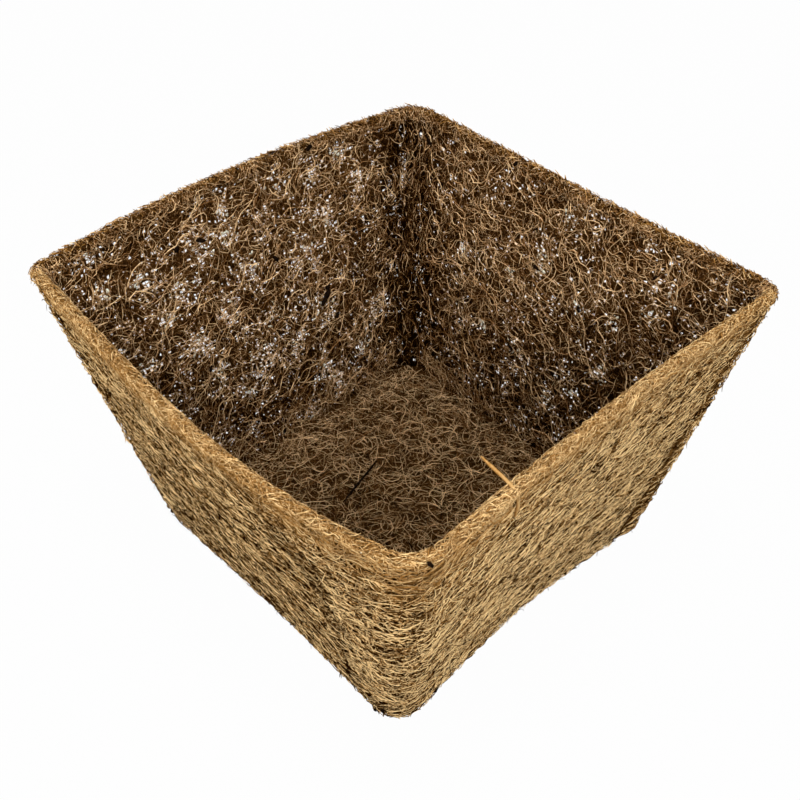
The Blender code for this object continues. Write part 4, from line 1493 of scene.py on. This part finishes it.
class BASKET_OT_rim(bpy.types.Operator):
    """Finish the cut edge of the four walls"""
    bl_idname = "basket.rim"
    bl_label = "Rim"

    def execute(self, context):
        settings, outside = context.scene.basket_fibres, coir_colours(context, "outside")
        cut = fibre_finish("cut ends", outside, 0.5, 0.9, 0.3)
        rim_edge(felt_finish("cut coir", outside, 0.30, 0.56))
        rim_ends(settings, cut)
        rim_fibres(settings, NEAR_RIM, (FRONT, RIGHT), "near_rim_fibres", cut)
        far = fibre_finish("far rim", coir_colours(context, "inside"), 0.45)
        rim_fibres(settings, FAR_RIM, (BACK, LEFT), "far_rim_fibres", far)
        return {"FINISHED"}


class BASKET_OT_base(bpy.types.Operator):
    """Make the base pad"""
    bl_idname = "basket.base"
    bl_label = "Base pad"

    def execute(self, context):
        settings, inside = context.scene.basket_fibres, coir_colours(context, "inside")
        finish = fibre_finish("pad coir", inside, 0.45)
        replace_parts(pad_core(felt_finish("matted pad", inside, 0.02, 0.32)), "base_pad")
        pad_fibres(settings, "base_pad_tangle", 8000, 4, depth=(0.0038, 0.0062), length=0.012, curl=110,
                   tone=(0.43, 0.40), seed=60, up=True, material=finish)
        pad_fibres(settings, "base_pad_underside", 900, 5, depth=(0.0003, 0.0012), length=0.022, curl=30,
                   tone=(0.5, 0.17), seed=70, up=False, material=finish)
        return {"FINISHED"}


class BASKET_OT_strays(bpy.types.Operator):
    """Add the stray fibres, pith crumbs and pale specks"""
    bl_idname = "basket.strays"
    bl_label = "Strays and crumbs"

    def execute(self, context):
        settings, colours = context.scene.basket_fibres, context.scene.basket_colours
        outside = coir_colours(context, "outside")
        long_curls(settings, fibre_finish("pale curls", coir_colours(context, "inside"), 0.4, 0.6))
        loose_ends(settings, fibre_finish("loose ends", outside, 0.45))
        rim_stray(fibre_finish("stray fibre", outside, 0.45, 0.3))
        latex_flecks(settings, crumb_finish("latex", colours.latex, 0.4))
        rng = np.random.default_rng(SEED + 700)
        pith = crumb_finish("pith", colours.pith, 0.85)
        crumbs("pith_crumbs", rng, caught(rng, DARK_MARKS, settings.crumbs, 0.8), (1.0, 2.2), pith)
        floor_twig(pith)
        places = caught(rng, PALE_AND_GLINT_MARKS, settings.specks, 0.5, 0.495)
        crumbs("pale_specks", rng, places, (1.0, 1.5), crumb_finish("pale speck", colours.speck, 0.4))
        return {"FINISHED"}


def studio_world(sky):
    """White background for the camera and for reflections, and a plain dimmer sky for the light."""
    world = bpy.data.worlds.new("studio")
    world.use_nodes = True
    nodes, links = world.node_tree.nodes, world.node_tree.links
    strength = nodes.new("ShaderNodeMapRange")
    strength.inputs["To Min"].default_value = sky
    strength.inputs["To Max"].default_value = 1.0
    links.new(seen_directly(nodes, links), strength.inputs["Value"])
    links.new(strength.outputs["Result"], nodes["Background"].inputs["Strength"])
    nodes["Background"].inputs["Color"].default_value = (1, 1, 1, 1)
    return world


def seen_directly(nodes, links):
    """1 for camera, glossy and transmission rays, otherwise 0."""
    path = nodes.new("ShaderNodeLightPath")
    seen = path.outputs["Is Camera Ray"]
    for name in ("Is Glossy Ray", "Is Transmission Ray"):
        either = nodes.new("ShaderNodeMath")
        either.operation = "MAXIMUM"
        links.new(seen, either.inputs[0])
        links.new(path.outputs[name], either.inputs[1])
        seen = either.outputs[0]
    return seen


def studio_floor(colour):
    """Pale floor that shows nearly white, with a faint shadow of the basket."""
    made = Colours("pale floor", 0.9)
    made.shader.inputs["Base Color"].default_value = (*colour, 1)
    share = made.maths("MULTIPLY", seen_directly(made.nodes, made.links), 0.98)
    mix = made.node("ShaderNodeMixShader")
    made.link(share, mix.inputs["Fac"])
    made.link(made.shader.outputs[0], mix.inputs[1])
    made.link(made.node("ShaderNodeEmission").outputs[0], mix.inputs[2])
    made.link(mix.outputs[0], made.nodes["Material Output"].inputs["Surface"])
    mesh = bpy.data.meshes.new("floor")
    reach, drop = 6.0, -0.0005
    corners = [(reach * x, reach * y, drop) for x, y in CORNER_SIGNS.tolist()]
    mesh.from_pydata(corners, [], [(0, 1, 2, 3)])
    mesh.materials.append(made.material)
    return bpy.data.objects.new("floor", mesh)


def studio_camera(lens):
    """Camera at the photograph's place, turned by its azimuth, elevation and roll."""
    camera = bpy.data.objects.new("camera", bpy.data.cameras.new("camera"))
    camera.data.lens, camera.data.sensor_width = lens, 36.0
    camera.data.clip_start = 0.01
    around, above, roll = np.radians((CAMERA_AZIMUTH, CAMERA_ELEVATION, CAMERA_ROLL))
    backward = Vector((np.sin(around) * np.cos(above), -np.cos(around) * np.cos(above), np.sin(above)))
    right = (-backward).cross(Vector((0, 0, 1))).normalized()
    upward = right.cross(-backward)
    tilted = np.cos(roll) * right + np.sin(roll) * upward
    upright = -np.sin(roll) * right + np.cos(roll) * upward
    turned = Matrix((tilted, upright, backward)).transposed().to_4x4()
    camera.matrix_world = Matrix.Translation(CAMERA_PLACE) @ turned
    return camera


class BASKET_OT_stage(bpy.types.Operator):
    """Set the floor, lamps and camera"""
    bl_idname = "basket.stage"
    bl_label = "Stage"

    def execute(self, context):
        scene, settings = context.scene, context.scene.basket_stage
        scene.view_settings.view_transform = "Standard"
        scene.world = studio_world(settings.sky)
        floor = studio_floor(settings.floor)
        scene.collection.objects.link(floor)
        for name, (place, size) in LAMPS.items():
            lamp = bpy.data.lights.new(name, "AREA")
            lamp.size, lamp.energy = size, getattr(settings, name)
            made = bpy.data.objects.new(name, lamp)
            made.location = place
            made.rotation_euler = (LAMP_TARGET - Vector(place)).to_track_quat("-Z", "Y").to_euler()
            scene.collection.objects.link(made)
        scene.camera = studio_camera(settings.lens)
        scene.collection.objects.link(scene.camera)
        return {"FINISHED"}


class BASKET_PT_panel(bpy.types.Panel):
    """Basket tools"""
    bl_label = "Coir basket"
    bl_idname = "BASKET_PT_panel"
    bl_space_type = "VIEW_3D"
    bl_region_type = "UI"
    bl_category = "Basket"

    def draw(self, context):
        for group in (context.scene.basket_fibres, context.scene.basket_colours, context.scene.basket_stage):
            box = self.layout.box()
            for name in group.__annotations__:
                box.prop(group, name)
        for operator in OPERATORS:
            self.layout.operator(operator.bl_idname)


OPERATORS = (BASKET_OT_felt, BASKET_OT_outside, BASKET_OT_inside, BASKET_OT_rim, BASKET_OT_base,
             BASKET_OT_strays, BASKET_OT_stage)
GROUPS = {"basket_fibres": BasketFibres, "basket_colours": BasketColours, "basket_stage": BasketStage}
CLASSES = (*GROUPS.values(), *OPERATORS, BASKET_PT_panel)


def register():
    for made in CLASSES:
        bpy.utils.register_class(made)
    for name, group in GROUPS.items():
        setattr(bpy.types.Scene, name, bpy.props.PointerProperty(type=group))


def unregister():
    for name in GROUPS:
        delattr(bpy.types.Scene, name)
    for made in reversed(CLASSES):
        bpy.utils.unregister_class(made)


def main():
    register()
    bpy.ops.basket.felt()
    bpy.ops.basket.outside()
    bpy.ops.basket.inside()
    bpy.ops.basket.rim()
    bpy.ops.basket.base()
    bpy.ops.basket.strays()
    bpy.ops.basket.stage()


if __name__ == "__main__":
    main()
